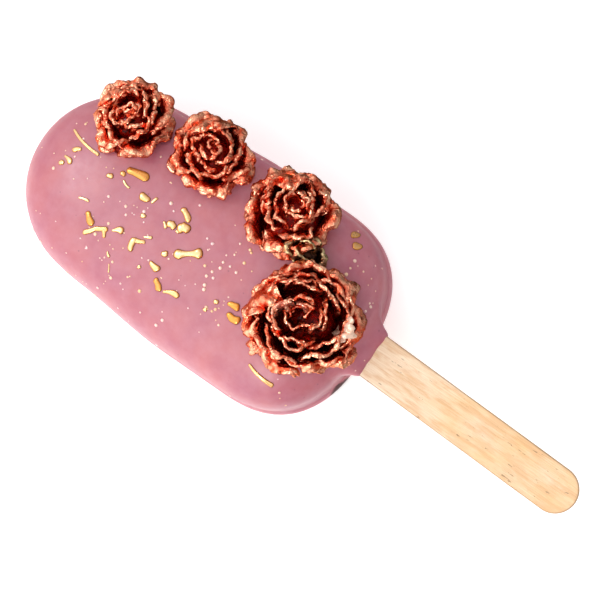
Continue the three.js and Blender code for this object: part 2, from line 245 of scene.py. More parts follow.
def sheet_faces(on_rim: Array) -> Faces:
    """The faces of a thin sheet made of two layers that meet in the vertices of its rim.

    Args:
        on_rim: Which places of the grid lie on the rim.

    Returns:
        The faces of both layers, with the second layer's turned over.
    """
    first = np.arange(on_rim.size).reshape(on_rim.shape)
    second = np.where(on_rim, first, first + on_rim.size)
    faces = []
    for i in range(on_rim.shape[0] - 1):
        for j in range(on_rim.shape[1] - 1):
            corners = ((i, j), (i + 1, j), (i + 1, j + 1), (i, j + 1))
            faces.append(tuple(int(first[corner]) for corner in corners))
            faces.append(tuple(int(second[corner]) for corner in reversed(corners)))
    return faces


def join_parts(points: tuple[Array, ...], faces: tuple[Faces, ...]) -> tuple[Array, Faces]:
    """Joins the points and the faces of several parts, and numbers the faces anew."""
    joined = []
    count = 0
    for part, own_faces in zip(points, faces):
        joined += [tuple(i + count for i in face) for face in own_faces]
        count += len(part)
    return np.vstack(points), joined


# Node trees


class NodeSheet:
    """A node tree with a short way to add and join nodes."""

    prefix: str = ""

    def __init__(self, tree: bpy.types.NodeTree) -> None:
        """Takes the tree to draw in."""
        self.tree = tree

    def add(self, kind: str, values: dict | None = None, **settings: object) -> bpy.types.Node:
        """Adds a node.

        Args:
            kind: The node's type name, without the prefix that the sheet puts before it.
            values: Input names with the numbers, colours or sockets that they take.
            settings: Properties of the node itself.

        Returns:
            The new node.
        """
        node = self.tree.nodes.new(f"{self.prefix}{kind}")
        for name, value in settings.items():
            setattr(node, name, value)
        for name, value in (values or {}).items():
            self.give(node.inputs[name], value)
        return node

    def give(self, socket: Socket, value: object) -> None:
        """Joins a socket to an output, or sets its value."""
        if isinstance(value, Socket):
            self.tree.links.new(value, socket)
        elif isinstance(value, tuple) and len(value) == 3 and socket.type == "RGBA":
            socket.default_value = (*value, 1.0)
        else:
            socket.default_value = value


class ShaderSheet(NodeSheet):
    """A shader node tree with short ways to the sums and masks that finishes are made of."""

    prefix: str = "ShaderNode"

    def math(self, operation: str, first: object, second: object = 0.0) -> Socket:
        """A Math node's result for two numbers or sockets."""
        return self.add("Math", {0: first, 1: second}, operation=operation).outputs[0]

    def vector(self, operation: str, first: object, second: object = (0.0, 0.0, 0.0)) -> bpy.types.Node:
        """A Vector Math node for two vectors or sockets."""
        return self.add("VectorMath", {0: first, 1: second}, operation=operation)

    def weighed(self, *parts: tuple[Socket, float]) -> Socket:
        """The sum of some values, each times its weight."""
        total = self.math("MULTIPLY", *parts[0])
        for value, weight in parts[1:]:
            total = self.math("ADD", total, self.math("MULTIPLY", value, weight))
        return total

    def blend(self, share: object, first: object, second: object) -> Socket:
        """A colour mixed from two colours by a share."""
        node = self.add("Mix", {"Factor": share}, data_type="RGBA")
        colours = [socket for socket in node.inputs if socket.type == "RGBA"]
        for socket, value in zip(colours, (first, second)):
            self.give(socket, value)
        return next(socket for socket in node.outputs if socket.type == "RGBA")

    def span(self, value: object, fade: Pair, ends: Pair = (0.0, 1.0)) -> Socket:
        """Maps a value from one range to another with soft ends.

        Args:
            value: The number or socket to map.
            fade: The values between which the result changes.
            ends: The results at them.

        Returns:
            The result.
        """
        names = ("From Min", "From Max", "To Min", "To Max")
        values = {"Value": value, **dict(zip(names, (*fade, *ends)))}
        return self.add("MapRange", values, interpolation_type="SMOOTHSTEP").outputs[0]

    def place(self, scale: Triple = (1, 1, 1), turn: float = 0.0) -> Socket:
        """Object coordinates in millimetres, stretched and turned about Z."""
        where = self.add("TexCoord").outputs["Object"]
        scales = tuple(part / MM for part in scale)
        values = {"Vector": where, "Scale": scales, "Rotation": (0, 0, turn)}
        return self.add("Mapping", values, vector_type="POINT").outputs[0]

    def axis(self, name: str, where: Socket) -> Socket:
        """One axis of a place."""
        return self.add("SeparateXYZ", {"Vector": where}).outputs[name]

    def attribute(self, name: str) -> Socket:
        """The number stored on the mesh under a name."""
        return self.add("Attribute", attribute_name=name).outputs["Fac"]


def new_group(name: str, inputs: dict[str, str], outputs: dict[str, str]) -> ShaderSheet:
    """Starts a shader node group.

    Args:
        name: The group's name.
        inputs: Socket names with their type.
        outputs: Socket names with their type.

    Returns:
        The group's sheet, with its input and output nodes named "in" and "out".
    """
    tree = bpy.data.node_groups.new(name, "ShaderNodeTree")
    for direction, sockets in (("INPUT", inputs), ("OUTPUT", outputs)):
        for title, kind in sockets.items():
            tree.interface.new_socket(title, in_out=direction, socket_type=f"NodeSocket{kind}")
    tree.nodes.new("NodeGroupInput").name = "in"
    tree.nodes.new("NodeGroupOutput").name = "out"
    return ShaderSheet(tree)


def mottle_group() -> bpy.types.NodeTree:
    """A soft patchy mask at one size, shared by the coating, the wood and the metal paints."""
    if "mottle" in bpy.data.node_groups:
        return bpy.data.node_groups["mottle"]
    inputs = {"Vector": "Vector", "Size": "Float", "Sharpness": "Float"}
    sheet = new_group("mottle", inputs, {"Mask": "Float"})
    given = sheet.tree.nodes["in"].outputs
    middle = 0.5
    scale = sheet.math("DIVIDE", 1.0, given["Size"])
    values = {"Vector": given["Vector"], "Scale": scale, "Detail": 3.0, "Roughness": 0.55}
    cloud = sheet.add("TexNoise", values).outputs["Fac"]
    reach = sheet.math("SUBTRACT", middle, given["Sharpness"])
    low = sheet.math("SUBTRACT", middle, reach)
    high = sheet.math("ADD", middle, reach)
    mask = sheet.add("MapRange", {"Value": cloud, "From Min": low, "From Max": high}).outputs[0]
    sheet.give(sheet.tree.nodes["out"].inputs["Mask"], mask)
    return sheet.tree


def crumple_group() -> bpy.types.NodeTree:
    """The fine creases of painted petals, as a height, shared by the copper and the bronze."""
    if "crumple" in bpy.data.node_groups:
        return bpy.data.node_groups["crumple"]
    sheet = new_group("crumple", {"Vector": "Vector", "Size": "Float"}, {"Height": "Float"})
    given = sheet.tree.nodes["in"].outputs
    grain_finer, grain_weight = 4.0, 0.25
    scale = sheet.math("DIVIDE", 1.0, given["Size"])
    values = {"Vector": given["Vector"], "Scale": scale, "Detail": 2.0, "Distortion": 0.8}
    creases = sheet.add("TexNoise", values, noise_type="RIDGED_MULTIFRACTAL").outputs["Fac"]
    finer = sheet.math("MULTIPLY", scale, grain_finer)
    grains = sheet.add("TexNoise", {"Vector": given["Vector"], "Scale": finer}).outputs["Fac"]
    height = sheet.weighed((creases, 1.0), (grains, grain_weight))
    sheet.give(sheet.tree.nodes["out"].inputs["Height"], height)
    return sheet.tree


# Finishes


@dataclass(frozen=True)
class Mottle:
    """A patchy mask: the size of its patches, and how sharply they end, below 0.5."""

    size: float
    sharpness: float


@dataclass(frozen=True)
class Streaks:
    """A patchy mask drawn out along the grain.

    per_mm is how often it repeats in a millimetre across, along and up, and weight is how much of its
    colour it brings.
    """

    per_mm: Triple
    sharpness: float
    weight: float = 1.0


class Finish:
    """A finish that makes one material the first time it is asked for."""

    name: str

    def material(self) -> bpy.types.Material:
        """The finish's material, made once."""
        known = bpy.data.materials.get(self.name)
        if known:
            return known
        made = bpy.data.materials.new(self.name)
        made.use_nodes = True
        sheet = ShaderSheet(made.node_tree)
        self.draw(sheet, made.node_tree.nodes["Principled BSDF"])
        return made

    def draw(self, sheet: ShaderSheet, skin: bpy.types.Node) -> None:
        """Draws the finish round its Principled BSDF."""
        raise NotImplementedError

    def fix(self, skin: bpy.types.Node, values: dict[str, object]) -> None:
        """Sets the shader's own sockets to values that are the same all over."""
        for name, value in values.items():
            skin.inputs[name].default_value = value

    def use_group(self, sheet: ShaderSheet, tree: bpy.types.NodeTree, **values: object) -> bpy.types.Node:
        """Places a shared group with its own values."""
        node = sheet.tree.nodes.new("ShaderNodeGroup")
        node.node_tree = tree
        for name, value in values.items():
            sheet.give(node.inputs[name], value)
        return node

    def mottle(self, sheet: ShaderSheet, where: Socket, kind: Mottle) -> Socket:
        """A patchy mask over the surface."""
        node = self.use_group(
            sheet, mottle_group(), Vector=where, Size=kind.size, Sharpness=kind.sharpness
        )
        return node.outputs["Mask"]

    def bump(self, sheet: ShaderSheet, skin: bpy.types.Node, height: Socket, depth: float) -> None:
        """Raises the surface by a height of 0 to 1 times a depth in millimetres."""
        values = {"Height": height, "Distance": depth * MM, "Strength": 1.0}
        sheet.give(skin.inputs["Normal"], sheet.add("Bump", values).outputs[0])


@dataclass(frozen=True)
class CoatingFinish(Finish):
    """Satin candy coating, patchy, with a painted highlight round its foot, a painted shadow beside the
    stick, and a few pinholes of burst bubbles with painted shade in them.

    Each fade is the two values between which a colour or a height comes in.
    """

    name: str = "pink_coating"
    mauve: Triple = (0.41, 0.098, 0.15)
    blush: Triple = (0.49, 0.125, 0.145)
    patches: Mottle = Mottle(11.0, 0.3)
    bloom: Triple = (0.60, 0.28, 0.33)
    bloom_share: float = 0.2
    blots: Mottle = Mottle(3.2, 0.34)
    # Painted highlight: foot is a pale band round the foot, where its lower edge catches the light.
    foot: Triple = (0.86, 0.50, 0.54)
    foot_share: float = 0.55
    foot_highlight_fade: Pair = (1.2, 4.2)
    # Painted shadow: a dark patch at the foot beside the stick.
    foot_shadow: Triple = (0.05, 0.022, 0.018)
    foot_shadow_share: float = 0.9
    foot_shadow_at: Triple = (-9.4, -46.4, 0.2)
    foot_shadow_reach: Triple = (4.2, 3.2, 4.4)
    foot_shadow_fade: Pair = (0.85, 1.1)
    foot_shadow_waver: float = 0.25
    # Painted shade: the pinholes are darkened where shade would fall in them.
    pinhole_shade: Triple = (0.2, 0.05, 0.08)
    pinhole_shade_share: float = 0.5
    pinholes_per_mm: float = 1 / 3.4
    pinhole_fade: Pair = (0.045, 0.081)
    grain: Mottle = Mottle(1.3, 0.1)
    grain_height: float = 0.35
    roughness: Pair = (0.4, 0.5)
    depth: float = 0.03

    def pinholes(self, sheet: ShaderSheet, where: Socket) -> Socket:
        """A mask of small round holes."""
        cells = {"Vector": where, "Scale": self.pinholes_per_mm, "Randomness": 1.0}
        away = sheet.add("TexVoronoi", cells, feature="F1").outputs["Distance"]
        return sheet.span(away, self.pinhole_fade, (1.0, 0.0))

    def foot_shadowed(self, sheet: ShaderSheet, where: Socket, blots: Socket) -> Socket:
        """A mask of the painted shadow at the foot beside the stick, with an uneven edge."""
        offset = sheet.vector("SUBTRACT", where, self.foot_shadow_at).outputs[0]
        shares = sheet.vector("DIVIDE", offset, self.foot_shadow_reach).outputs[0]
        away = sheet.vector("LENGTH", shares).outputs["Value"]
        away = sheet.math("ADD", away, sheet.math("MULTIPLY", blots, self.foot_shadow_waver))
        return sheet.span(away, self.foot_shadow_fade, (self.foot_shadow_share, 0.0))

    def draw(self, sheet: ShaderSheet, skin: bpy.types.Node) -> None:
        """Mixes the pinks, paints a highlight round the foot, a shadow beside the stick and shade in the
        pinholes, and sinks the pinholes.
        """
        where = sheet.place()
        blots = self.mottle(sheet, where, self.blots)
        grain = self.mottle(sheet, where, self.grain)
        holes = self.pinholes(sheet, where)
        low = sheet.math("ADD", sheet.axis("Z", where), blots)
        pink = sheet.blend(self.mottle(sheet, where, self.patches), self.mauve, self.blush)
        for share, colour in (
            (sheet.math("MULTIPLY", blots, self.bloom_share), self.bloom),
            # Painted shade in the pinholes.
            (sheet.math("MULTIPLY", holes, self.pinhole_shade_share), self.pinhole_shade),
            # Painted highlight round the foot.
            (sheet.span(low, self.foot_highlight_fade, (self.foot_share, 0.0)), self.foot),
            # Painted shadow at the foot beside the stick.
            (self.foot_shadowed(sheet, where, blots), self.foot_shadow),
        ):
            pink = sheet.blend(share, pink, colour)
        sheet.give(skin.inputs["Base Color"], pink)
        sheet.give(skin.inputs["Roughness"], sheet.span(grain, (0.0, 1.0), self.roughness))
        self.fix(skin, {
            "Specular IOR Level": 0.7,
            "Subsurface Weight": 0.08,
            "Subsurface Radius": (0.004, 0.002, 0.0015),
            "Subsurface Scale": 0.3,
        })
        height = sheet.math("SUBTRACT", sheet.math("MULTIPLY", grain, self.grain_height), holes)
        self.bump(sheet, skin, height, self.depth)


@dataclass(frozen=True)
class GoldFinish(Finish):
    """Metallic gold food paint, from cream gold to orange gold by the piece's own warmth.

    The colour goes by how high a point stands in its drop, from 0 at the edge to 1 at the crown, and the rim
    colour is painted shade round the edge.
    """

    name: str = "gold_paint"
    cream: Triple = (0.91, 0.66, 0.34)
    amber: Triple = (0.74, 0.28, 0.045)
    amber_share: float = 0.9
    amber_fade: Pair = (0.6, 1.0)
    # Painted shade: rim is the dark colour round the edge of each drop.
    rim: Triple = (0.2, 0.085, 0.02)
    edge_shade_fade: Pair = (0.2, 0.8)
    metal: float = 0.55
    grain: Mottle = Mottle(0.5, 0.1)
    roughness: Pair = (0.22, 0.4)
    depth: float = 0.03

    def draw(self, sheet: ShaderSheet, skin: bpy.types.Node) -> None:
        """Mixes the golds and paints shade round the edge of each drop."""
        grain = self.mottle(sheet, sheet.place(), self.grain)
        crown = sheet.attribute("crown")
        gold = sheet.blend(sheet.attribute("warmth"), self.cream, self.amber)
        gold = sheet.blend(sheet.span(crown, self.amber_fade, (self.amber_share, 0.0)), gold, self.amber)
        # Painted shade round the edge of the drop.
        gold = sheet.blend(sheet.span(crown, self.edge_shade_fade, (1.0, 0.0)), gold, self.rim)
        sheet.give(skin.inputs["Base Color"], gold)
        sheet.give(skin.inputs["Roughness"], sheet.span(grain, (0.0, 1.0), self.roughness))
        self.fix(skin, {"Metallic": self.metal})
        self.bump(sheet, skin, grain, self.depth)


@dataclass(frozen=True)
class PetalFinish(Finish):
    """Metallic paint over crumpled petals, with painted shade in the folds and painted highlights along the
    rims and on pale petals.

    The colour goes by how near a point is to the petal's rim, from 0 at the root to 1 at the rim.
    """

    name: str
    # Painted shade: the dark colour of petal roots and the heart, where shade falls between petals.
    painted_fold_shade: Triple
    paint: Triple
    # Painted highlight: glint is the bright colour laid along the rims in patches, and it also tints the
    # specular reflection.
    glint: Triple
    paint_fade: Pair = (0.34, 0.82)
    painted_highlight_fade: Pair = (0.6, 1.0)
    # Painted highlight: pale is the cream colour of whole petals that catch the light, which are also less
    # metallic.
    pale: Triple = (1.0, 0.72, 0.56)
    painted_highlight_dulls: float = 0.8
    patches: Mottle = Mottle(2.2, 0.36)
    roughness: Pair = (0.15, 0.29)
    coat: float = 0.15
    coat_roughness: float = 0.16
    crease_size: float = 1.2
    crease_depth: float = 0.5

    def draw(self, sheet: ShaderSheet, skin: bpy.types.Node) -> None:
        """Runs from the painted shade of the folds through the paint to the painted highlight, over fine
        creases.
        """
        where = sheet.place()
        patches = self.mottle(sheet, where, self.patches)
        out = sheet.attribute("rim_share")
        pale = sheet.attribute("pale")
        # Painted shade in the folds, then the paint.
        colour = sheet.blend(sheet.span(out, self.paint_fade), self.painted_fold_shade, self.paint)
        # Painted highlight along the rims, in patches.
        painted_highlight = sheet.math("MULTIPLY", sheet.span(out, self.painted_highlight_fade), patches)
        colour = sheet.blend(painted_highlight, colour, self.glint)
        # Pale petals get a painted highlight.
        sheet.give(skin.inputs["Base Color"], sheet.blend(pale, colour, self.pale))
        dull = sheet.math("MULTIPLY", pale, self.painted_highlight_dulls)
        sheet.give(skin.inputs["Metallic"], sheet.math("SUBTRACT", 1.0, dull))
        sheet.give(skin.inputs["Roughness"], sheet.span(patches, (0.0, 1.0), self.roughness))
        self.fix(skin, {
            "Specular Tint": (*self.glint, 1.0),
            "Coat Weight": self.coat,
            "Coat Roughness": self.coat_roughness,
        })
        creases = self.use_group(sheet, crumple_group(), Vector=where, Size=self.crease_size)
        self.bump(sheet, skin, creases.outputs["Height"], self.crease_depth)


@dataclass(frozen=True)
class WoodFinish(Finish):
    """Bare birch: a fine grain along the stick, dark flecks, painted shade along its edges and painted light
    towards the bar.
    """

    name: str = "birch"
    turn: float = -STICK_YAW
    pale: Triple = (0.92, 0.60, 0.31)
    blush: Triple = (0.97, 0.72, 0.52)
    clouds: Streaks = Streaks((0.2, 0.12, 0.2), 0.3)
    # Painted light: the wood turns paler towards the bar, against the shade that the bar casts on it.
    painted_light_near_bar: Triple = (1.0, 0.80, 0.60)
    painted_light_near_bar_fade: Pair = (-80.0, -50.0)
    grain: Triple = (0.76, 0.43, 0.20)
    bands: Streaks = Streaks((0.5, 0.03, 0.5), 0.38, 0.2)
    fibres: Streaks = Streaks((3.4, 0.12, 3.4), 0.36, 0.16)
    blotches: Streaks = Streaks((0.75, 0.16, 0.75), 0.42, 0.46)
    # Painted shade: a darker brown along the eased edges of the stick.
    painted_edge_shade: Triple = (0.36, 0.2, 0.11)
    painted_edge_shade_share: float = 0.8
    fleck: Triple = (0.33, 0.17, 0.08)
    fleck_fade: Pair = (0.66, 0.7)
    flecks: Streaks = Streaks((1.5, 0.3, 1.5), 0.0, 0.75)
    roughness: Pair = (0.55, 0.75)
    depth: float = 0.05

    def streaked(self, sheet: ShaderSheet, streaks: Streaks) -> Socket:
        """A mask of streaks along the stick."""
        where = sheet.place(streaks.per_mm, self.turn)
        return self.mottle(sheet, where, Mottle(1.0, streaks.sharpness))

    def draw(self, sheet: ShaderSheet, skin: bpy.types.Node) -> None:
        """Lays bands, fibres and blotches along the stick, with short dark flecks between them."""
        fibres = self.streaked(sheet, self.fibres)
        grain = sheet.weighed(
            (self.streaked(sheet, self.bands), self.bands.weight),
            (fibres, self.fibres.weight),
            (self.streaked(sheet, self.blotches), self.blotches.weight),
        )
        flecks = sheet.span(self.streaked(sheet, self.flecks), self.fleck_fade)
        wood = sheet.blend(self.streaked(sheet, self.clouds), self.pale, self.blush)
        for share, colour in (
            # Painted light towards the bar.
            (sheet.span(sheet.axis("Y", sheet.place()), self.painted_light_near_bar_fade), self.painted_light_near_bar),
            (grain, self.grain),
            # Painted shade along the eased edges.
            (sheet.math("MULTIPLY", sheet.attribute("edge"), self.painted_edge_shade_share), self.painted_edge_shade),
            (sheet.math("MULTIPLY", flecks, self.flecks.weight), self.fleck),
        ):
            wood = sheet.blend(share, wood, colour)
        sheet.give(skin.inputs["Base Color"], wood)
        sheet.give(skin.inputs["Roughness"], sheet.span(fibres, (0.0, 1.0), self.roughness))
        self.bump(sheet, skin, fibres, self.depth)


@dataclass(frozen=True)
class FloorFinish(Finish):
    """The plain pale surface under the piece, a little bright of itself."""

    name: str = "pale_floor"

    def draw(self, sheet: ShaderSheet, skin: bpy.types.Node) -> None:
        """A near white with no pattern."""
        self.fix(skin, {
            "Base Color": (0.95, 0.95, 0.95, 1),
            "Roughness": 0.9,
            "Specular IOR Level": 0.1,
            "Emission Color": (1, 1, 1, 1),
            "Emission Strength": 0.35,
        })


COATING = CoatingFinish()
GOLD = GoldFinish()
# Specks have a crown of 1 everywhere, so the painted shade of rim never shows on them.
PEARL = GoldFinish(
    name="pearl_paint", cream=(0.92, 0.64, 0.62), amber=(0.88, 0.56, 0.28), rim=(0.4, 0.1, 0.12), metal=0.1
)
WOOD = WoodFinish()
FLOOR = FloorFinish()
# Each petal finish lists the painted shade of the folds, the paint, and the painted highlight of the rims.
COPPER = PetalFinish("copper_paint", (0.13, 0.002, 0.0005), (0.66, 0.083, 0.031), (0.98, 0.52, 0.33))
BRONZE = PetalFinish("bronze_paint", (0.06, 0.02, 0.01), (0.2, 0.1, 0.05), (0.66, 0.52, 0.28))


# The bar and what lies on it


@dataclass(frozen=True)
class Stick:
    """The flat wooden stick: its sizes, and the line it lies along.

    free_end and meets_bar_at are places along Y, and middle is where its centre line crosses the
    bar's end. waver is how far its surface strays, in waver_per_mm waves to a millimetre.
    """

    length: float = 113.0
    width: float = 11.0
    thickness: float = 2.0
    edge: float = 0.35
    face_inset: float = 0.77
    height: float = 12.0
    free_end: float = -105.6
    middle: float = 1.7
    meets_bar_at: float = -46.0
    yaw: float = STICK_YAW
    waver: float = 0.04
    waver_per_mm: Triple = (0.6, 0.12, 0.6)
    waver_seed: float = 3.0
    end_steps: int = 40
    side_steps: int = 24

    def middle_at(self, y: Values) -> Values:
        """Where the stick's centre line crosses the bar at y."""
        return self.middle - (y - self.meets_bar_at) * math.tan(self.yaw)

    def outline(self, inset: float) -> Array:
        """The stick's outline about its own middle, starting on its long axis, drawn in by an inset."""
        half = self.width / 2 - inset
        run = self.length / 2 - self.width / 2
        quarter = np.linspace(0, math.pi / 2, self.end_steps // 2, endpoint=False)
        cap = np.column_stack((half * np.sin(quarter), run + half * np.cos(quarter)))
        side_y = np.linspace(run, 0, self.side_steps, endpoint=False)
        side = np.column_stack((np.full(self.side_steps, half), side_y))
        upper = np.vstack((cap, side))
        lower = np.vstack(([[half, 0.0]], upper[:0:-1] * (1, -1)))
        right = np.vstack((upper, lower, [[0, -run - half]]))
        left = right[-2:0:-1] * (-1, 1)
        return np.vstack((right, left))

    def section(self) -> list[Pair]:
        """The stick's side from its lower face to its upper one, as insets and heights."""
        half = self.thickness / 2
        eased = self.edge * (1 - math.sqrt(0.5))
        lower = [(self.face_inset, -half), (self.edge, -half), (eased, eased - half), (0, self.edge - half)]
        return [*lower, *((inset, -z) for inset, z in reversed(lower))]

    def build(self) -> None:
        """Makes the stick with eased edges and a slightly uneven face."""
        section = self.section()
        rings = [lifted(self.outline(inset), z) for inset, z in section]
        columns = len(rings[0])
        points = np.vstack(rings)
        stray = self.waver * crinkle(points * self.waver_per_mm, 1.0, self.waver_seed)
        points += stray[:, None] * (1, 0, 1)
        turn = Matrix.Rotation(self.yaw, 3, "Z")
        middle_y = self.free_end + self.length / 2
        points = points @ np.array(turn).T + (self.middle_at(middle_y), middle_y, self.height)
        made = make_object("wooden_stick", points, laddered_faces(len(rings), columns), WOOD.material())
        # The edge attribute marks the eased edges, which the wood darkens with painted shade.
        edges = [np.full(columns, float(inset < self.edge)) for inset, _ in section]
        store(made, "edge", np.concatenate(edges))
        dress(made, "wood", "stick")


@dataclass(frozen=True)
class Bar:
    """The bar's outline and its domed face.

    Each end is half a superellipse with its own reach along Y and power, and the dome has such a
    curve for its side. The bar narrows towards the tip between taper_from and taper_to.
    """

    tip_end: float = 45.4
    stick_end: float = -46.0
    tip_half_width: float = 23.6
    stick_half_width: float = 25.8
    taper_from: float = -6.0
    taper_to: float = 24.0
    tip_reach: float = 25.0
    tip_power: float = 2.05
    stick_reach: float = 23.0
    stick_power: float = 2.5
    wall_top: float = 9.5
    wall_inset: float = 0.9
    dome_height: float = 15.0
    dome_reach: float = 24.9
    dome_power: float = 2.6
    cap_steps: int = 241
    side_steps: int = 60
    measured_steps: int = 720
    batch: int = 2000

    def half_width(self, y: Array) -> Array:
        """Half the bar's width at y, before the caps close it."""
        share = np.clip((y - self.taper_from) / (self.taper_to - self.taper_from), 0, 1)
        return lerp(self.stick_half_width, self.tip_half_width, share * share * (3 - 2 * share))

    def half_path(self) -> Array:
        """The outline's right half, from the tip round to the stick end."""
        tip_centre = self.tip_end - self.tip_reach
        stick_centre = self.stick_end + self.stick_reach
        caps = []
        for power, reach, centre, start in (
            (self.tip_power, self.tip_reach, tip_centre, math.pi / 2),
            (self.stick_power, self.stick_reach, stick_centre, 0.0),
        ):
            angle = start - np.linspace(0, math.pi / 2, self.cap_steps)
            y = centre + reach * signed_power(np.sin(angle), 2 / power)
            caps.append(np.column_stack((self.half_width(y) * np.cos(angle).clip(0) ** (2 / power), y)))
        side_y = np.linspace(tip_centre, stick_centre, self.side_steps)[1:-1]
        return np.vstack((caps[0], np.column_stack((self.half_width(side_y), side_y)), caps[1]))

    def outline(self, count: int, crowding: Callable[[Array], Array] | None = None) -> Array:
        """The outline as a ring of points that mirrors about X = 0 and starts at the tip.

        Args:
            count: How many points, an even number.
            crowding: How close together points lie near a place, against 1 elsewhere.

        Returns:
            The points, clockwise from above.
        """
        path = self.half_path()
        steps = np.linalg.norm(np.diff(path, axis=0), axis=1)
        if crowding:
            steps = steps * crowding((path[1:] + path[:-1]) / 2)
        travelled = np.concatenate(([0], np.cumsum(steps)))
        marks = np.linspace(0, travelled[-1], count // 2 + 1)
        right = np.column_stack([np.interp(marks, travelled, path[:, axis]) for axis in (0, 1)])
        right[[0, -1], 0] = 0
        return np.vstack((right, right[-2:0:-1] * (-1, 1)))

    def inset_at(self, points: Array) -> Array:
        """How far each point of the plan lies inside the outline."""
        starts = self.outline(self.measured_steps)
        runs = np.roll(starts, -1, axis=0) - starts
        lengths = (runs**2).sum(axis=1)
        found = []
        for group in np.array_split(points, max(1, len(points) // self.batch)):
            away = group[:, None, :] - starts
            share = np.clip((away * runs).sum(axis=2) / lengths, 0, 1)
            found.append(np.sqrt(((away - share[..., None] * runs) ** 2).sum(axis=2)).min(axis=1))
        return np.concatenate(found)

    def dome(self, inset: Array) -> Array:
        """The face's height at a distance inside the outline."""
        share = np.clip(1 - (inset - self.wall_inset) / self.dome_reach, 0, 1)
        return self.wall_top + self.dome_height * (1 - share**self.dome_power) ** (1 / self.dome_power)

    def height_at(self, points: Array) -> Array:
        """The face's height above each point of the plan."""
        return self.dome(self.inset_at(points))


@dataclass(frozen=True)
class Coating:
    """The smooth coating of the bar, drawn out into a collar round the stick.

    wall holds insets and heights up the side, and collar holds distances from the stick and where the
    end wall lies along Y at them. Rings run inwards to last_offset, and then shrink onto a spine. The
    coating wanders a little in height, and fully so from wander_full_at up.
    """

    bar: Bar
    stick: Stick
    columns: int = 300
    wall: tuple[Pair, ...] = (
        (1.5, 0.0), (0.4, 0.45), (0.0, 1.4), (0.15, 2.3), (0.7, 3.2), (0.78, 5.5), (0.9, 9.5),
    )
    wall_steps: int = 6
    back_steps: int = 5
    dome_steps: int = 34
    dome_crowding: float = 1.25
    last_offset: float = 14.0
    spine_steps: int = 12
    spine_close: float = 0.94
    collar: tuple[Pair, ...] = (
        (0.0, -48.9), (0.35, -48.75), (0.7, -48.2), (1.1, -47.3),
        (1.8, -46.3), (2.6, -45.4), (3.6, -44.6), (5.0, -43.5),
    )
    collar_round: float = 0.5
    collar_blend: float = 1.1
    collar_from: float = -36.0
    crowd_width: float = 14.0
    crowd_more: float = 2.6
    lip_wander: float = 0.4
    lip_wave: float = 4.0
    lip_seed: float = 9.0
    wander: float = 0.1
    wander_size: float = 13.0
    wander_full_at: float = 6.0
    wander_seed: float = 5.0

    def crowding(self, places: Array) -> Array:
        """Points lie closer together where the collar leaves the bar."""
        near = np.exp(-((places[:, 0] / self.crowd_width) ** 4)) * (places[:, 1] < 0)
        return 1 + self.crowd_more * near

    def dome_insets(self) -> Array:
        """How far in the dome's rings lie, closer together where the face is steep."""
        bar = self.bar
        reach = 1 - (self.last_offset - bar.wall_inset) / bar.dome_reach
        end = math.acos(reach ** (bar.dome_power / 2))
        angles = end * np.linspace(0, 1, self.dome_steps) ** self.dome_crowding
        return bar.wall_inset + bar.dome_reach * (1 - np.cos(angles) ** (2 / bar.dome_power))

    def levels(self) -> list[Pair]:
        """The insets and heights of the rings from the flat back round the wall and over the dome."""
        back = np.linspace(self.last_offset, self.wall[0][0], self.back_steps)[:-1]
        wall = smooth_curve(list(self.wall), self.wall_steps)[:-1]
        return [
            *((inset, 0.0) for inset in back),
            *((inset, max(z, 0.0)) for inset, z in wall),
            *((inset, float(self.bar.dome(inset))) for inset in self.dome_insets()),
        ]

    def rings(self) -> list[Array]:
        """The skin as rings of points, from the middle of the back over the wall to the crown."""
        bar = self.bar
        outline = bar.outline(self.columns, self.crowding)
        along = np.roll(outline, -1, axis=0) - np.roll(outline, 1, axis=0)
        inward = np.column_stack((along[:, 1], -along[:, 0])) / np.linalg.norm(along, axis=1)[:, None]
        spine_y = np.clip(outline[:, 1], bar.stick_end + bar.dome_reach, bar.tip_end - bar.dome_reach)
        spine = np.column_stack((np.zeros(self.columns), spine_y))
        inner = outline + inward * self.last_offset
        shares = np.linspace(0, self.spine_close, self.spine_steps + 1)[1:]
        middles = [lerp(inner, spine, share) for share in shares]
        return [
            *(lifted(plan, 0.0) for plan in reversed(middles)),
            *(lifted(outline + inward * inset, z) for inset, z in self.levels()),
            *(lifted(plan, bar.height_at(plan)) for plan in middles),
        ]

    def draw_collar(self, points: Array) -> Array:
        """Draws the end wall out along the stick, with an uneven lip."""
        stick = self.stick
        half_width = stick.width / 2 - self.collar_round
        half_thickness = stick.thickness / 2 - self.collar_round
        y = points[:, 1]
        beside = np.abs(points[:, 0] - stick.middle_at(y)) - half_width
        above = np.abs(points[:, 2] - stick.height) - half_thickness
        away = np.hypot(np.clip(beside, 0, None), np.clip(above, 0, None)) - self.collar_round
        distances, places = np.array(self.collar).T
        target = np.interp(away, distances, places, right=0)
        step = self.collar_blend
        share = np.clip(0.5 + 0.5 * (y - target) / step, 0, 1)
        drawn = points.copy()
        drawn[:, 1] = lerp(y, target, share) - step * share * (1 - share)
        drawn[:, 1] += self.lip_wander * share * crinkle(points, self.lip_wave, self.lip_seed)
        near = (y < self.collar_from) & (away < distances[-1])
        return np.where(near[:, None], drawn, points)

    def build(self) -> bpy.types.Object:
        """Makes the coating."""
        rings = self.rings()
        points = self.draw_collar(np.vstack(rings))
        free = np.clip(points[:, 2] / self.wander_full_at, 0, 1)
        points[:, 2] += self.wander * crinkle(points, self.wander_size, self.wander_seed) * free
        faces = laddered_faces(len(rings), self.columns)
        made = make_object("coating_shell", points, faces, COATING.material())
        dress(made, "coating", "coating")
        return made


@dataclass(frozen=True)
class Splash:
    """A raised splash of gold, drawn out between two ends.

    widths are its widths at the ends, neck thins it between them, and warmth runs from 0, cream gold,
    to 1, orange gold.
    """

    start: Pair
    end: Pair
    widths: Pair
    warmth: float = 0.0
    neck: float = 0.0


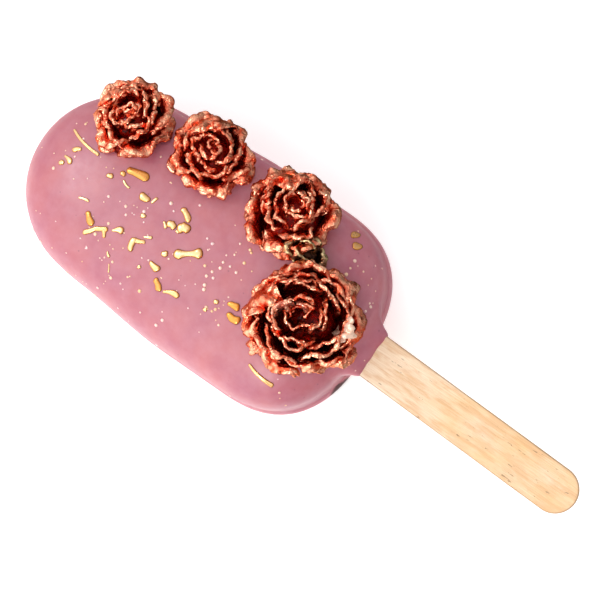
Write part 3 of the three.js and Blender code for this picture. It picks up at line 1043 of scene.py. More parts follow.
@dataclass(frozen=True)
class GoldSplashes:
    """The raised splashes of gold on the face.

    rise and rise_power set a drop's height by its width, and crown_power sets how flat its top is.
    shares are how far out the rings of its top lie, and under_shares those of its sunk foot. uneven
    holds the two waves of its edge, as waves in a turn and their depths.
    """

    bar: Bar
    rise: float = 0.55
    rise_power: float = 0.7
    crown_power: float = 2.4
    sunk: float = 0.25
    widen: float = 1.2
    bend: float = 0.16
    uneven: tuple[Pair, ...] = ((3, 0.09), (5, 0.06))
    bend_seed: int = 40
    end_steps: int = 10
    side_steps: int = 6
    shares: tuple[float, ...] = (0.35, 0.6, 0.76, 0.88, 0.96, 1.0)
    under_shares: Pair = (0.9, 0.6)
    splashes: tuple[Splash, ...] = (
        Splash((5.9, 36.8), (4.4, 28.5), (0.5, 0.8), 0.2),
        Splash((2.3, 33.7), (3.1, 32.7), (1.2, 0.7), 0.3),
        Splash((-2.0, 34.9), (-1.8, 34.6), (1.0, 1.0), 0.1),
        Splash((-0.2, 34.8), (-0.6, 33.1), (0.5, 1.2), 0.2),
        Splash((5.4, 19.8), (6.1, 16.1), (1.5, 1.8), 0.9),
        Splash((1.8, 23.3), (2.0, 22.8), (1.0, 1.0), 0.2),
        Splash((4.0, 21.0), (4.0, 20.7), (1.0, 1.0), 0.6),
        Splash((2.7, 19.7), (2.1, 17.9), (0.5, 0.5), 0.0),
        Splash((2.2, 14.0), (2.2, 12.9), (1.6, 1.4), 0.3),
        Splash((3.5, 11.1), (2.3, 11.4), (0.7, 0.5), 0.2),
        Splash((-8.2, 22.4), (-9.5, 20.8), (1.2, 1.4), 0.9),
        Splash((-12.0, 20.8), (-10.1, 19.2), (1.1, 0.8), 0.25),
        Splash((-10.1, 19.3), (-8.8, 17.1), (0.8, 1.1), 0.5),
        Splash((-9.3, 17.2), (-10.3, 16.5), (0.9, 0.7), 0.5),
        Splash((-8.1, 15.5), (-7.0, 14.0), (0.4, 1.5), 0.15),
        Splash((-12.9, 13.9), (-13.5, 13.2), (0.35, 0.6), 0.1),
        Splash((-15.0, 12.2), (-16.6, 11.4), (0.2, 0.3), 0.3),
        Splash((-9.1, 9.8), (-7.2, 10.1), (1.3, 1.3), 0.2),
        Splash((-7.1, 10.0), (-6.2, 7.9), (1.1, 0.7), 0.3),
        Splash((-5.2, 8.4), (-4.5, 7.1), (0.4, 0.7), 0.0),
        Splash((0.6, 5.1), (0.6, 4.3), (1.5, 1.4), 0.1),
        Splash((1.3, 2.4), (1.8, 1.6), (2.0, 2.0), 0.15),
        Splash((4.9, 4.2), (3.7, 2.2), (1.3, 1.2), 0.35),
        Splash((0.1, 6.4), (-0.6, 5.6), (0.6, 0.7), 0.1),
        Splash((-4.1, -0.5), (-1.5, -4.1), (2.1, 2.1), 0.05, 0.5),
        Splash((-5.9, 2.4), (-5.7, 2.2), (1.2, 1.2), 0.1),
        Splash((-9.3, 3.7), (-9.6, 2.1), (1.0, 1.5), 0.35),
        Splash((-12.0, 0.6), (-13.1, -0.8), (1.2, 1.3), 0.9),
        Splash((-13.0, -2.3), (-12.0, -5.1), (0.6, 1.3), 0.4),
        Splash((-6.2, 26.3), (-5.7, 24.2), (0.4, 0.6), 0.0),
        Splash((-6.7, -16.7), (-6.5, -18.3), (1.1, 1.5), 1.0),
        Splash((-9.0, -18.0), (-9.0, -19.9), (1.3, 1.7), 1.0),
        Splash((-15.7, -28.0), (-16.7, -34.4), (0.6, 0.9), 0.5),
        Splash((20.2, -32.3), (20.3, -32.7), (1.5, 1.5), 0.6),
        Splash((22.1, -30.3), (22.3, -30.6), (1.4, 1.4), 0.6),
        Splash((-1.4, 11.5), (-1.3, 11.3), (1.0, 1.0), 0.0),
        Splash((0.1, 2.8), (0.1, 2.6), (0.7, 0.7), 0.0),
        Splash((-11.6, 5.8), (-11.5, 5.7), (0.7, 0.7), 0.0),
        Splash((-8.2, -13.6), (-8.1, -13.8), (0.9, 0.9), 0.2),
        Splash((-11.1, -12.5), (-11.0, -12.6), (0.8, 0.8), 0.2),
    )

    def capsule(self) -> tuple[Array, Array]:
        """The outline of a drop with two round ends.

        Returns:
            Where each point lies between the ends, from -1 to 1, and which way it faces, in radians.
        """
        half_turn = np.linspace(-math.pi / 2, math.pi / 2, self.end_steps + 1)
        side = np.linspace(1, -1, self.side_steps + 1)[1:-1]
        quarter = np.full(len(side), math.pi / 2)
        ones = np.ones(len(half_turn))
        reach = np.concatenate((ones, side, -ones, -side))
        return reach, np.concatenate((half_turn, quarter, half_turn + math.pi, -quarter))

    def edge(self, count: int, seed: int) -> Array:
        """How far out a drop's edge lies at each of its points, about 1."""
        turn = np.linspace(0, FULL_TURN, count, endpoint=False)
        (slow, slow_depth), (fast, fast_depth) = self.uneven
        slow_wave = slow_depth * np.sin(slow * turn + FULL_TURN * random_share(seed))
        return 1 + slow_wave + fast_depth * np.sin(fast * turn + seed)

    def drop(self, splash: Splash, seed: int) -> tuple[Array, Array, Faces]:
        """One splash as a closed low drop that follows the face.

        Args:
            splash: Where it lies and how wide it is.
            seed: Sets how its edge wanders.

        Returns:
            Its points, how high each stands in the drop from 0 to 1, and its faces.
        """
        start, end = np.array(splash.start), np.array(splash.end)
        length = float(np.linalg.norm(end - start))
        forward = (end - start) / length
        beside = np.array((-forward[1], forward[0]))
        bow = self.bend * (random_share(seed + self.bend_seed) - 0.5) * length * beside
        reach, angle = self.capsule()
        inside = 1 - reach**2
        spine = (start + end) / 2 + (reach * length / 2)[:, None] * forward + inside[:, None] * bow
        width = lerp(*splash.widths, (reach + 1) / 2) / 2 * self.widen * (1 - splash.neck * inside)
        out = width * self.edge(len(reach), seed)
        outward = (out * np.cos(angle))[:, None] * forward + (out * np.sin(angle))[:, None] * beside
        high = self.rise * width**self.rise_power
        middle = (start + end) / 2 + bow
        plan, crown, lift = [middle], [[1.0]], [[high.min()]]
        for share in self.shares:
            crown.append(np.full(len(reach), math.sqrt(1 - share**self.crown_power)))
            lift.append(high * crown[-1])
            plan.append(spine + share * outward)
        for share in self.under_shares:
            crown.append(np.zeros(len(reach)))
            lift.append(np.full(len(reach), -self.sunk))
            plan.append(spine + share * outward)
        plan = np.vstack((*plan, middle))
        lift = np.concatenate((*lift, [-self.sunk]))
        faces = poled_faces(len(crown) - 1, len(reach))
        return lifted(plan, self.bar.height_at(plan) + lift), np.concatenate((*crown, [0.0])), faces

    def build(self) -> None:
        """Makes every splash as one piece."""
        drops = [self.drop(splash, seed) for seed, splash in enumerate(self.splashes)]
        points, crowns, faces = zip(*drops)
        made = make_object("gold_splashes", *join_parts(points, faces), GOLD.material())
        warmths = [np.full(len(part), splash.warmth) for part, splash in zip(points, self.splashes)]
        store(made, "crown", np.concatenate(crowns))
        store(made, "warmth", np.concatenate(warmths))
        dress(made, "gold", "coating")


# Specks that Geometry Nodes scatter


class GeometrySheet(NodeSheet):
    """A Geometry Nodes tree with named inputs, which takes and gives a geometry."""

    def __init__(self, name: str) -> None:
        """Starts an empty tree."""
        super().__init__(bpy.data.node_groups.new(name, "GeometryNodeTree"))
        for direction in ("INPUT", "OUTPUT"):
            self.tree.interface.new_socket("Geometry", in_out=direction, socket_type="NodeSocketGeometry")
        self.given = self.tree.nodes.new("NodeGroupInput")
        self.result = self.tree.nodes.new("NodeGroupOutput")
        self.names: dict[str, str] = {}

    def ask(self, name: str, kind: str) -> Socket:
        """Adds a named input and returns its socket inside the tree."""
        socket = self.tree.interface.new_socket(name, in_out="INPUT", socket_type=f"NodeSocket{kind}")
        self.names[name] = socket.identifier
        return next(output for output in self.given.outputs if output.identifier == socket.identifier)

    def finish(self, geometry: Socket) -> None:
        """Joins the last geometry to the output."""
        self.give(self.result.inputs[0], geometry)


@dataclass(frozen=True)
class SpeckField:
    """A round patch of the face where specks of gold lie close together."""

    at: Pair
    spread: float
    density: float


@dataclass(frozen=True)
class GoldSpecks:
    """Fine specks of gold, scattered over the face and thicker in patches.

    keep_clear holds the X, Y and radius of the places that stay free of them, and background and the
    fields' densities are specks on a square millimetre. The higher mostly_small is, the rarer large
    specks are.
    """

    shell: bpy.types.Object
    keep_clear: tuple[Triple, ...]
    seed: int = 7
    smallest: float = 0.15
    largest: float = 0.48
    mostly_small: float = 2.4
    flatness: float = 0.5
    segments: int = 10
    rings: int = 6
    lowest: float = 12.0
    warmth: float = 0.4
    warmth_spread: float = 1.2
    warmth_patch: float = 6.0
    background: float = 0.022
    fields: tuple[SpeckField, ...] = (
        SpeckField((-3, 12), 13, 0.06),
        SpeckField((-8, -8), 7, 0.10),
        SpeckField((1, -11), 5, 0.25),
        SpeckField((-9, -14), 3, 0.30),
        SpeckField((16, -37), 5, 0.13),
        SpeckField((-2, 34), 6, 0.10),
        SpeckField((-16, 18), 7, 0.12),
    )

    def density(self, points: Array) -> Array:
        """How many specks lie on each square metre at each point of the skin."""
        x, y, z = points.T
        found = np.full(len(points), self.background)
        for patch in self.fields:
            away = ((x - patch.at[0]) ** 2 + (y - patch.at[1]) ** 2) / patch.spread**2
            found += patch.density * np.exp(-away)
        found[z < self.lowest] = 0
        for at_x, at_y, radius in self.keep_clear:
            found[np.hypot(x - at_x, y - at_y) < radius] = 0
        return found / MM**2

    def speck_size(self, sheet: GeometrySheet, seed: Socket) -> Socket:
        """A size for each speck, mostly near the smallest, as a flattened scale."""
        smallest = sheet.ask("Smallest", "Float")
        largest = sheet.ask("Largest", "Float")
        chance = sheet.add("FunctionNodeRandomValue", {"Seed": seed}, data_type="FLOAT").outputs[1]
        skewed = sheet.add("ShaderNodeMath", {0: chance, 1: self.mostly_small}, operation="POWER")
        size = sheet.add(
            "ShaderNodeMapRange", {"Value": skewed.outputs[0], "To Min": smallest, "To Max": largest}
        )
        flat = sheet.add("ShaderNodeCombineXYZ", {"X": 1.0, "Y": 1.0, "Z": self.flatness})
        scale = sheet.add(
            "ShaderNodeVectorMath", {0: flat.outputs[0], "Scale": size.outputs[0]}, operation="SCALE"
        )
        return scale.outputs[0]

    def tree(self) -> GeometrySheet:
        """Scatters low drops over a surface by its stored density."""
        sheet = GeometrySheet("speck_scatter")
        seed = sheet.ask("Seed", "Int")
        paint = sheet.ask("Paint", "Material")
        density = sheet.add("GeometryNodeInputNamedAttribute", {"Name": "speck_density"}, data_type="FLOAT")
        spread = sheet.add(
            "GeometryNodeDistributePointsOnFaces",
            {"Mesh": sheet.given.outputs["Geometry"], "Density": density.outputs["Attribute"], "Seed": seed},
            distribute_method="RANDOM",
        )
        drop = sheet.add(
            "GeometryNodeMeshUVSphere", {"Segments": self.segments, "Rings": self.rings, "Radius": 1.0}
        )
        placed = sheet.add(
            "GeometryNodeInstanceOnPoints",
            {
                "Points": spread.outputs["Points"],
                "Instance": drop.outputs["Mesh"],
                "Rotation": spread.outputs["Rotation"],
                "Scale": self.speck_size(sheet, seed),
            },
        )
        real = sheet.add("GeometryNodeRealizeInstances", {"Geometry": placed.outputs[0]})
        smooth = sheet.add("GeometryNodeSetShadeSmooth", {"Geometry": real.outputs[0]})
        painted = sheet.add("GeometryNodeSetMaterial", {"Geometry": smooth.outputs[0], "Material": paint})
        sheet.finish(painted.outputs[0])
        return sheet

    def build(self) -> None:
        """Scatters the specks and turns them into one plain mesh."""
        carrier = bpy.data.objects.new("speck_carrier", self.shell.data.copy())
        bpy.context.scene.collection.objects.link(carrier)
        store(carrier, "speck_density", self.density(places_of(carrier.data)))
        sheet = self.tree()
        modifier = carrier.modifiers.new("scatter", "NODES")
        modifier.node_group = sheet.tree
        for name, value in (
            ("Seed", self.seed),
            ("Smallest", self.smallest * MM),
            ("Largest", self.largest * MM),
            ("Paint", PEARL.material()),
        ):
            modifier[sheet.names[name]] = value
        evaluated = carrier.evaluated_get(bpy.context.evaluated_depsgraph_get())
        mesh = bpy.data.meshes.new_from_object(evaluated)
        mesh.name = "gold_specks"
        bpy.data.objects.remove(carrier)
        made = bpy.data.objects.new(mesh.name, mesh)
        bpy.context.scene.collection.objects.link(made)
        warmth = self.warmth + self.warmth_spread * crinkle(places_of(mesh), self.warmth_patch, self.seed)
        store(made, "crown", np.ones(len(mesh.vertices)))
        store(made, "warmth", np.clip(warmth, 0, 1))
        dress(made, "gold", "coating")


# Roses


@dataclass(frozen=True)
class Ring:
    """One ring of petals.

    rim and top are shares of the rose's radius and height, open is how far the petals are laid back,
    and overlap is a petal's width against its share of the ring.
    """

    petals: int
    rim: float
    top: float
    open: float
    overlap: float


class Chance(IntEnum):
    """What a petal's chances decide, as the numbers that are added to its seed for them."""

    RIM = 0
    TOP = 1
    PLACE = 2
    PHASE = 3
    OPEN = 4
    BLUNT = 6
    TUCK = 7
    TILT = 8
    STRAY_X = 11
    STRAY_Y = 12
    STRAY_Z = 13
    CREASES = 50
    GRAIN = 90


@dataclass(frozen=True)
class Petal:
    """One petal's place in its rose.

    centre and half_angle are radians about the middle, rim and top are shares of the rose's radius and
    height, open runs from -1, a hood over the bud, through 0, a cup, to 1, laid right back, and pale is how
    much of a pale painted highlight covers it.
    """

    centre: float
    half_angle: float
    rim: float
    top: float
    open: float
    seed: int
    pale: float = 0.0

    def chance(self, kind: Chance) -> float:
        """The petal's own share from 0 to 1 for one of its chances."""
        return random_share(self.seed + kind)


class RoseKind(Enum):
    """The rings of petals of each kind of rose, from the bud out, and how high its heart ends."""

    SMALL = (
        0.8,
        (
            Ring(2, 0.12, 1.0, 0.0, 1.4),
            Ring(3, 0.26, 1.02, 0.1, 1.25),
            Ring(4, 0.46, 0.98, 0.35, 1.15),
            Ring(5, 0.7, 0.86, 0.55, 1.15),
            Ring(5, 1.0, 0.56, 0.85, 1.3),
            Ring(5, 0.94, 0.3, 1.0, 1.3),
            Ring(6, 0.84, 0.07, 1.0, 1.3),
        ),
    )
    LARGE = (
        0.38,
        (
            Ring(2, 0.1, 0.82, 0.0, 1.1),
            Ring(3, 0.22, 0.88, 0.0, 0.9),
            Ring(3, 0.35, 0.92, 0.1, 0.95),
            Ring(4, 0.49, 0.98, 0.15, 0.95),
            Ring(5, 0.62, 0.96, 0.3, 1.05),
            Ring(5, 0.75, 0.88, 0.4, 1.1),
            Ring(5, 0.89, 0.76, 0.55, 1.15),
            Ring(6, 1.0, 0.56, 0.8, 1.25),
            Ring(6, 0.94, 0.28, 1.0, 1.3),
            Ring(6, 0.84, 0.06, 1.0, 1.3),
        ),
    )
    BUD = (0.4, (Ring(2, 0.5, 1.0, 0.2, 0.8), Ring(4, 1.0, 0.7, 0.8, 0.95)))

    @property
    def heart_tip(self) -> float:
        """How high the heart ends, as a share of the rose's height."""
        return self.value[0]

    @property
    def rings(self) -> tuple[Ring, ...]:
        """The rings from the bud out."""
        return self.value[1]


@dataclass(frozen=True)
class Wave:
    """A wave across a petal: its half turns on each side, its shift by the phase, and its strength."""

    half_turns: float
    shift: float
    strength: float = 1.0

    def at(self, form: Callable[[Array], Array], across: Array, phase: float) -> Array:
        """How high the wave stands at places across a petal.

        Args:
            form: The kind of wave, as a function of an angle.
            across: The places, from -1 to 1.
            phase: The petal's own angle, which moves its waves.

        Returns:
            The heights.
        """
        return self.strength * form(self.half_turns * math.pi * across + self.shift * phase)


@dataclass(frozen=True)
class PetalShape:
    """The form that every petal of a rose shares.

    thickness, crumple, crumple_size and stray are millimetres, and other sizes are shares of the
    rose's radius or height. cupped, laid and hooded are the curves from root to rim of a petal that
    stands up, lies right back and bends over the bud, in shares of its own reach and rise. shoulder
    draws the corners down, and blunt is the range of powers that keeps the rim between them straight.
    uneven, jitter and open_stray spread a ring's petals, and calm makes the outer rings more even.
    broad, creases and grain are how much the folds of three sizes bring to the crumpled paint.
    """

    columns: int = 40
    rows: int = 18
    side_crowding: float = 0.45
    rim_crowding: float = 0.5
    root_share: float = 0.2
    thickness: float = 0.95
    thickness_run: Pair = (0.8, 1.15)
    edge_power: float = 5.0
    foot: float = 0.06
    cupped: tuple[Pair, ...] = ((0.5, 0), (1.02, 0.1), (1.06, 0.7), (0.9, 1))
    laid: tuple[Pair, ...] = ((0.5, 0), (0.64, 0.4), (0.72, 1.2), (1, 1))
    hooded: tuple[Pair, ...] = ((0.8, 0), (1.1, 0.5), (1.0, 1.1), (0.3, 1))
    curl: float = 0.18
    narrow: float = 0.6
    shoulder: float = 0.42
    blunt: Pair = (2.2, 6.0)
    tuck: Pair = (-0.065, 0.13)
    ruffle: float = 0.07
    ruffles: tuple[Wave, ...] = (Wave(1.5, 1.0), Wave(3.7, 2.3, 0.4))
    lift: float = 0.9
    lift_wave: Wave = Wave(2.2, 2.0)
    tilt: float = 1.6
    roll_room: float = 0.07
    roll_from: float = 0.75
    roll_out: float = 0.06
    roll_down: float = 0.08
    roll_wave: Wave = Wave(3.1, 4.7, 0.4)
    ring_turn: float = 0.9
    calm: float = 0.6
    uneven: float = 0.24
    jitter: float = 0.45
    open_stray: float = 0.5
    stray: float = 0.7
    stray_calm: float = 0.5
    crumple: float = 0.8
    crumple_size: float = 3.8
    crumple_at_root: float = 0.3
    broad: float = 0.9
    creases: float = 0.6
    crease_finer: float = 1.9
    crease_height: float = 0.7
    crease_slope: float = 2.4
    grain: float = 0.55
    grain_finer: float = 3.6
    hood_paint: float = 0.74

    def grid(self) -> tuple[Array, Array]:
        """A petal's places across it, from -1 to 1, and along it, up to 1 at the rim."""
        across = crowd_ends(np.linspace(-1, 1, self.columns + 1), self.side_crowding)
        climb = crowd_ends(np.linspace(0, 1, self.rows + 1), self.rim_crowding)
        along, across = np.meshgrid(lerp(self.root_share, 1, climb), across)
        return across, along

    def edge(self, across: Array, along: Array) -> Array:
        """How near each place is to the petal's outline, from 0 in the middle to 1 on it."""
        climb = (along - self.root_share) / (1 - self.root_share)
        return np.maximum(np.abs(across), np.abs(2 * climb - 1))

    def half_thickness(self, edge: Array, along: Array) -> Array:
        """Half the petal's thickness, which ends in a rounded outline."""
        rounded = np.sqrt(np.clip(1 - edge**self.edge_power, 0, 1))
        return self.thickness / 2 * rounded * lerp(*self.thickness_run, along**3)

    def roll(self, petal: Petal, across: Array, along: Array, phase: float) -> Array:
        """How far the rim is rolled outwards and down, from 0 to about 1."""
        share = np.clip((along - self.roll_from) / (1 - self.roll_from), 0, 1) ** 2
        wave = self.roll_wave
        return share * petal.rim * (1 - wave.strength + wave.at(np.sin, across, phase))


@dataclass(frozen=True)
class HeartShape:
    """The blunt cone in the middle of a rose.

    root is a share of the rose's radius and a height in millimetres, foot holds shares of its radius
    and height, and sides hold shares of its radius and of the heart's own height. follow is how much
    of the bud's place off the middle it takes. Its paint fades out at the share paint_to of the
    rose's height, and above that the heart takes the painted shade of the folds.
    """

    root: Pair = (0.6, -4.0)
    foot: Pair = (0.8, 0.05)
    sides: tuple[Pair, ...] = ((0.62, 0.45), (0.45, 0.8), (0.12, 0.98))
    steps: int = 4
    columns: int = 40
    uneven: float = 0.4
    uneven_size: float = 2.4
    follow: float = 0.3
    paint: float = 0.6
    paint_to: float = 0.3


@dataclass(frozen=True)
class Rose:
    """A sugar rose stuck to the face.

    stretch is its length along Y against its width, sunk is how deep it stands in the coating, lean
    holds degrees towards +X and +Y, heart is how far the bud lies off the middle, turn is the angle
    of the first petal, and cover is the share of its radius within which no specks are scattered.
    """

    name: str
    node: str
    bar: Bar
    kind: RoseKind
    at: Pair
    radius: float
    stretch: float
    height: float
    sunk: float
    lean: Pair
    heart: Pair
    turn: float
    seed: int
    slot: str = "copper"
    finish: PetalFinish = COPPER
    shape: PetalShape = PetalShape()
    core: HeartShape = HeartShape()
    extras: tuple[Petal, ...] = ()
    cover: float = 0.95
    seed_per_ring: int = 17
    seed_per_petal: int = 5

    def covered(self) -> Triple:
        """The patch of the face that the rose hides, as X, Y and radius."""
        return (*self.at, self.radius * self.cover)

    def ring_petal(self, step: int, ring: Ring, index: int) -> Petal:
        """One petal of a ring, strayed from its even place.

        Args:
            step: The ring's number from the bud out.
            ring: The ring.
            index: The petal's number in the ring.

        Returns:
            The petal.
        """
        shape = self.shape
        seed = self.seed + self.seed_per_ring * step + self.seed_per_petal * index
        loose = 1 - shape.calm * ring.rim
        turns = (index + shape.jitter * loose * random_share(seed + Chance.PLACE)) / ring.petals
        laid = ring.open + shape.open_stray * loose * (random_share(seed + Chance.OPEN) - 0.5)
        return Petal(
            centre=self.turn + shape.ring_turn * step + FULL_TURN * turns,
            half_angle=math.pi / ring.petals * ring.overlap,
            rim=ring.rim * (1 + shape.uneven * loose * (random_share(seed + Chance.RIM) - 0.5)),
            top=ring.top * (1 + shape.uneven * (random_share(seed + Chance.TOP) - 0.5)),
            open=min(1.0, max(0.0, laid)),
            seed=seed,
        )

    def petals(self) -> list[Petal]:
        """Every petal, ring by ring, with the extra ones last."""
        found = []
        for step, ring in enumerate(self.kind.rings):
            found += [self.ring_petal(step, ring, index) for index in range(ring.petals)]
        return [*found, *self.extras]

    def profile(self, petal: Petal, along: Array) -> tuple[Array, Array]:
        """The petal's curve from root to rim, as distances from the middle and heights."""
        shape = self.shape
        foot = shape.foot * self.height
        rim = petal.rim * self.radius * (1 - shape.roll_room * petal.rim)
        goal = shape.laid if petal.open > 0 else shape.hooded
        knots = lerp(np.array(shape.cupped), np.array(goal), abs(petal.open))
        knots = knots * (rim, petal.top * self.height - foot) + (0, foot)
        knots[-1, 1] -= shape.curl * self.height * max(petal.open, 0) ** 3
        share = along[..., None]
        curve = (
            (1 - share) ** 3 * knots[0]
            + 3 * (1 - share) ** 2 * share * knots[1]
            + 3 * (1 - share) * share**2 * knots[2]
            + share**3 * knots[3]
        )
        return curve[..., 0], curve[..., 1]

    def surface(self, petal: Petal, across: Array, along: Array) -> Array:
        """The middle surface of one petal.

        Args:
            petal: The petal.
            across: Places across the petal, from -1 to 1.
            along: Places along it, from 0 at the root to 1 at the rim.

        Returns:
            Points in the rose's own frame.
        """
        shape = self.shape
        blunt = lerp(*shape.blunt, petal.chance(Chance.BLUNT))
        out, high = self.profile(petal, along * (1 - shape.shoulder * np.abs(across) ** blunt))
        phase = FULL_TURN * petal.chance(Chance.PHASE)
        ruffle = along**2 * shape.ruffle * self.radius * petal.rim
        wave = sum(part.at(zigzag, across, phase) for part in shape.ruffles)
        tilt = lerp(-shape.tilt, shape.tilt, petal.chance(Chance.TILT))
        lift = shape.lift_wave.at(np.cos, across, phase) + tilt * across
        tuck = lerp(*shape.tuck, petal.chance(Chance.TUCK))
        roll = shape.roll(petal, across, along, phase)
        away = out + ruffle * wave + self.radius * (tuck * across + shape.roll_out * roll)
        angle = petal.centre + across * petal.half_angle * lerp(shape.narrow, 1, along)
        heart_x, heart_y = np.array(self.heart) * (1 - petal.rim)
        x = heart_x + away * np.cos(angle)
        y = heart_y + self.stretch * away * np.sin(angle)
        z = high + shape.lift * ruffle * lift - shape.roll_down * self.height * roll
        return np.stack((x, y, z), axis=-1)

    def crumple(self, petal: Petal, points: Array) -> Array:
        """How far the crumpled paint stands off a petal's smooth surface at each point."""
        shape = self.shape
        size = shape.crumple_size
        broad = crinkle(points, size, petal.seed)
        creases = np.abs(crinkle(points, size / shape.crease_finer, petal.seed + Chance.CREASES))
        creases = shape.crease_height - shape.crease_slope * creases
        grain = crinkle(points, size / shape.grain_finer, petal.seed + Chance.GRAIN)
        return shape.crumple * (shape.broad * broad + shape.creases * creases + shape.grain * grain)

    def sheet(self, petal: Petal) -> tuple[Array, Array, Faces]:
        """One petal as a closed thin sheet with a rounded, crumpled rim.

        Returns:
            Its points, how near each is to the rim from 0 to 1, and its faces.
        """
        shape = self.shape
        across, along = shape.grid()
        middle = self.surface(petal, across, along)
        normal = np.cross(np.gradient(middle, axis=1), np.gradient(middle, axis=0))
        normal /= np.linalg.norm(normal, axis=2)[..., None] + TINY
        crumple = self.crumple(petal, middle.reshape(-1, 3)).reshape(along.shape)
        crumple *= lerp(shape.crumple_at_root, 1, along**2)
        shares = [petal.chance(kind) for kind in (Chance.STRAY_X, Chance.STRAY_Y, Chance.STRAY_Z)]
        stray = shape.stray * (1 - shape.stray_calm * petal.rim) * lerp(-1, 1, np.array(shares))
        middle = middle + normal * crumple[..., None] + stray * along[..., None]
        edge = shape.edge(across, along)
        half = normal * shape.half_thickness(edge, along)[..., None]
        points = np.vstack(((middle + half).reshape(-1, 3), (middle - half).reshape(-1, 3)))
        # Hooded petals take less of the painted shade of the folds, so their outsides show paint.
        painted = lerp(along, lerp(shape.hood_paint, 1, along**4), max(-petal.open, 0))
        return points, np.tile(painted.reshape(-1), 2), sheet_faces(edge >= 1 - TINY)

    def heart_cone(self) -> tuple[Array, Array, Faces]:
        """The blunt cone that the petals spring from, reaching down into the coating.

        Returns:
            Its points, how far each is from the painted shade of the folds, from 0 to 1, and its faces.
        """
        core = self.core
        tip = self.kind.heart_tip * self.height
        foot_share, foot_height = core.foot
        knots = [core.root, (foot_share, foot_height * self.height)]
        knots += [(share, high * tip) for share, high in core.sides]
        turn = np.linspace(0, FULL_TURN, core.columns, endpoint=False)
        circle = self.radius * np.column_stack((np.cos(turn), self.stretch * np.sin(turn)))
        rings = [lifted(share * circle, z) for share, z in smooth_curve(knots, core.steps)]
        points = np.vstack((rings[0].mean(axis=0), *rings, rings[-1].mean(axis=0)))
        points[:, 2] += core.uneven * crinkle(points, core.uneven_size, self.seed)
        points[:, :2] += core.follow * np.array(self.heart)
        painted = core.paint * np.clip(1 - points[:, 2] / (core.paint_to * self.height), 0, 1)
        return points, painted, poled_faces(len(rings), core.columns)

    def stand(self, points: Array) -> Array:
        """Leans points of the rose's own frame and stands them on the face."""
        to_x, to_y = (math.radians(angle) for angle in self.lean)
        lean = Matrix.Rotation(-to_y, 3, "X") @ Matrix.Rotation(to_x, 3, "Y")
        height = float(self.bar.height_at(np.array([self.at]))[0])
        return points @ np.array(lean).T + (*self.at, height - self.sunk)

    def build(self) -> None:
        """Joins the heart and the petals into one piece on the face."""
        petals = self.petals()
        points, painted, faces = zip(self.heart_cone(), *(self.sheet(petal) for petal in petals))
        joined, numbered = join_parts(points, faces)
        made = make_object(self.name, self.stand(joined), numbered, self.finish.material())
        painted_highlight_shares = (0.0, *(petal.pale for petal in petals))
        # rim_share steers the painted shade of the folds and the painted highlight of the rims, and pale the
        # pale painted highlight.
        store(made, "rim_share", np.concatenate(painted))
        store(made, "pale", np.repeat(painted_highlight_shares, [len(part) for part in points]))
        dress(made, self.slot, self.node)


def roses(bar: Bar) -> list[Rose]:
    """The four roses and the broken bud between the lower two."""
    return [
        Rose(
            name="rose_nearest_tip", node="rose_tip", bar=bar, kind=RoseKind.SMALL,
            at=(14.5, 25.5), radius=10.3, stretch=0.88, height=10.5, sunk=1.0,
            lean=(13, 5), heart=(0, 0.2), turn=0.3, seed=18,
            extras=(Petal(math.radians(75), 0.6, 0.85, 0.98, -0.7, 321),),
        ),
        Rose(
            name="rose_second", node="rose_upper", bar=bar, kind=RoseKind.SMALL,
            at=(17.4, 6.1), radius=9.6, stretch=1.06, height=10.5, sunk=1.3,
            lean=(14, 0), heart=(0.2, -0.4), turn=1.1, seed=23,
            extras=(Petal(math.radians(35), 0.85, 0.9, 1.02, -0.8, 331),),
        ),
        Rose(
            name="rose_third", node="rose_lower", bar=bar, kind=RoseKind.SMALL,
            at=(16.8, -16.6), radius=11.2, stretch=0.96, height=10.5, sunk=1.3,
            lean=(14, 0), heart=(1.2, -1.8), turn=2.3, seed=40,
            extras=(Petal(math.radians(40), 0.55, 0.85, 1.02, -0.8, 341),),
        ),
        Rose(
            name="rose_largest", node="rose_stick_end", bar=bar, kind=RoseKind.LARGE,
            at=(0, -32.7), radius=13.5, stretch=1, height=13, sunk=1.6,
            lean=(1, -4), heart=(0.8, 0.8), turn=0.8, seed=53,
            shape=PetalShape(
                thickness=0.85, crumple=0.65, stray=0.8, laid=((0.5, 0), (0.74, 0.3), (0.84, 1.25), (1, 1)),
            ),
            extras=(
                # The seventh number of an extra petal is its share of pale painted highlight.
                Petal(math.radians(-72), 0.28, 0.92, 0.92, 0.9, 301, 0.9),
                Petal(math.radians(93), 0.6, 0.4, 1.1, 0.9, 307, 0.25),
                Petal(math.radians(147), 0.3, 1.12, 0.45, 1.0, 311),
                Petal(math.radians(95), 0.5, 0.98, 0.92, -0.75, 313),
                Petal(math.radians(92), 0.5, 0.33, 1.0, 0.05, 331, 0.25),
                Petal(math.radians(30), 0.7, 0.17, 0.96, 0.1, 337, 0.3),
            ),
        ),
        Rose(
            name="broken_bud", node="rose_lower", bar=bar, kind=RoseKind.BUD,
            at=(12.2, -24.4), radius=4.4, stretch=1.15, height=7.5, sunk=0.3,
            lean=(6, -6), heart=(0.4, 0.3), turn=2.4, seed=71, slot="bronze", finish=BRONZE,
            shape=PetalShape(thickness=0.7, crumple=0.25, stray=0.2),
        ),
    ]


# Floor, light and camera


@dataclass(frozen=True)
class Lamp:
    """A soft square lamp that points at the middle of the piece.

    place and side are millimetres, and a sheen_only lamp lights nothing but the sheen.
    """

    name: str
    place: Triple
    side: float
    watts: float
    sheen_only: bool = False


class Glow(Enum):
    """The soft glows of the room: how strong each is, and the way to it."""

    HIGH_LEFT = (0.9, (-0.77, 0.12, 0.63))
    LOW_LEFT = (0.78, (-0.97, 0.16, 0.18))
    TABLE_LEFT = (2.0, (-0.58, 0.3, -0.76))
    BEYOND_STICK = (0.46, (0.3, -0.95, 0.1))
    BEYOND_TIP = (0.78, (0.1, 0.97, 0.2))
    HIGH_RIGHT = (0.44, (0.64, 0.46, 0.62))


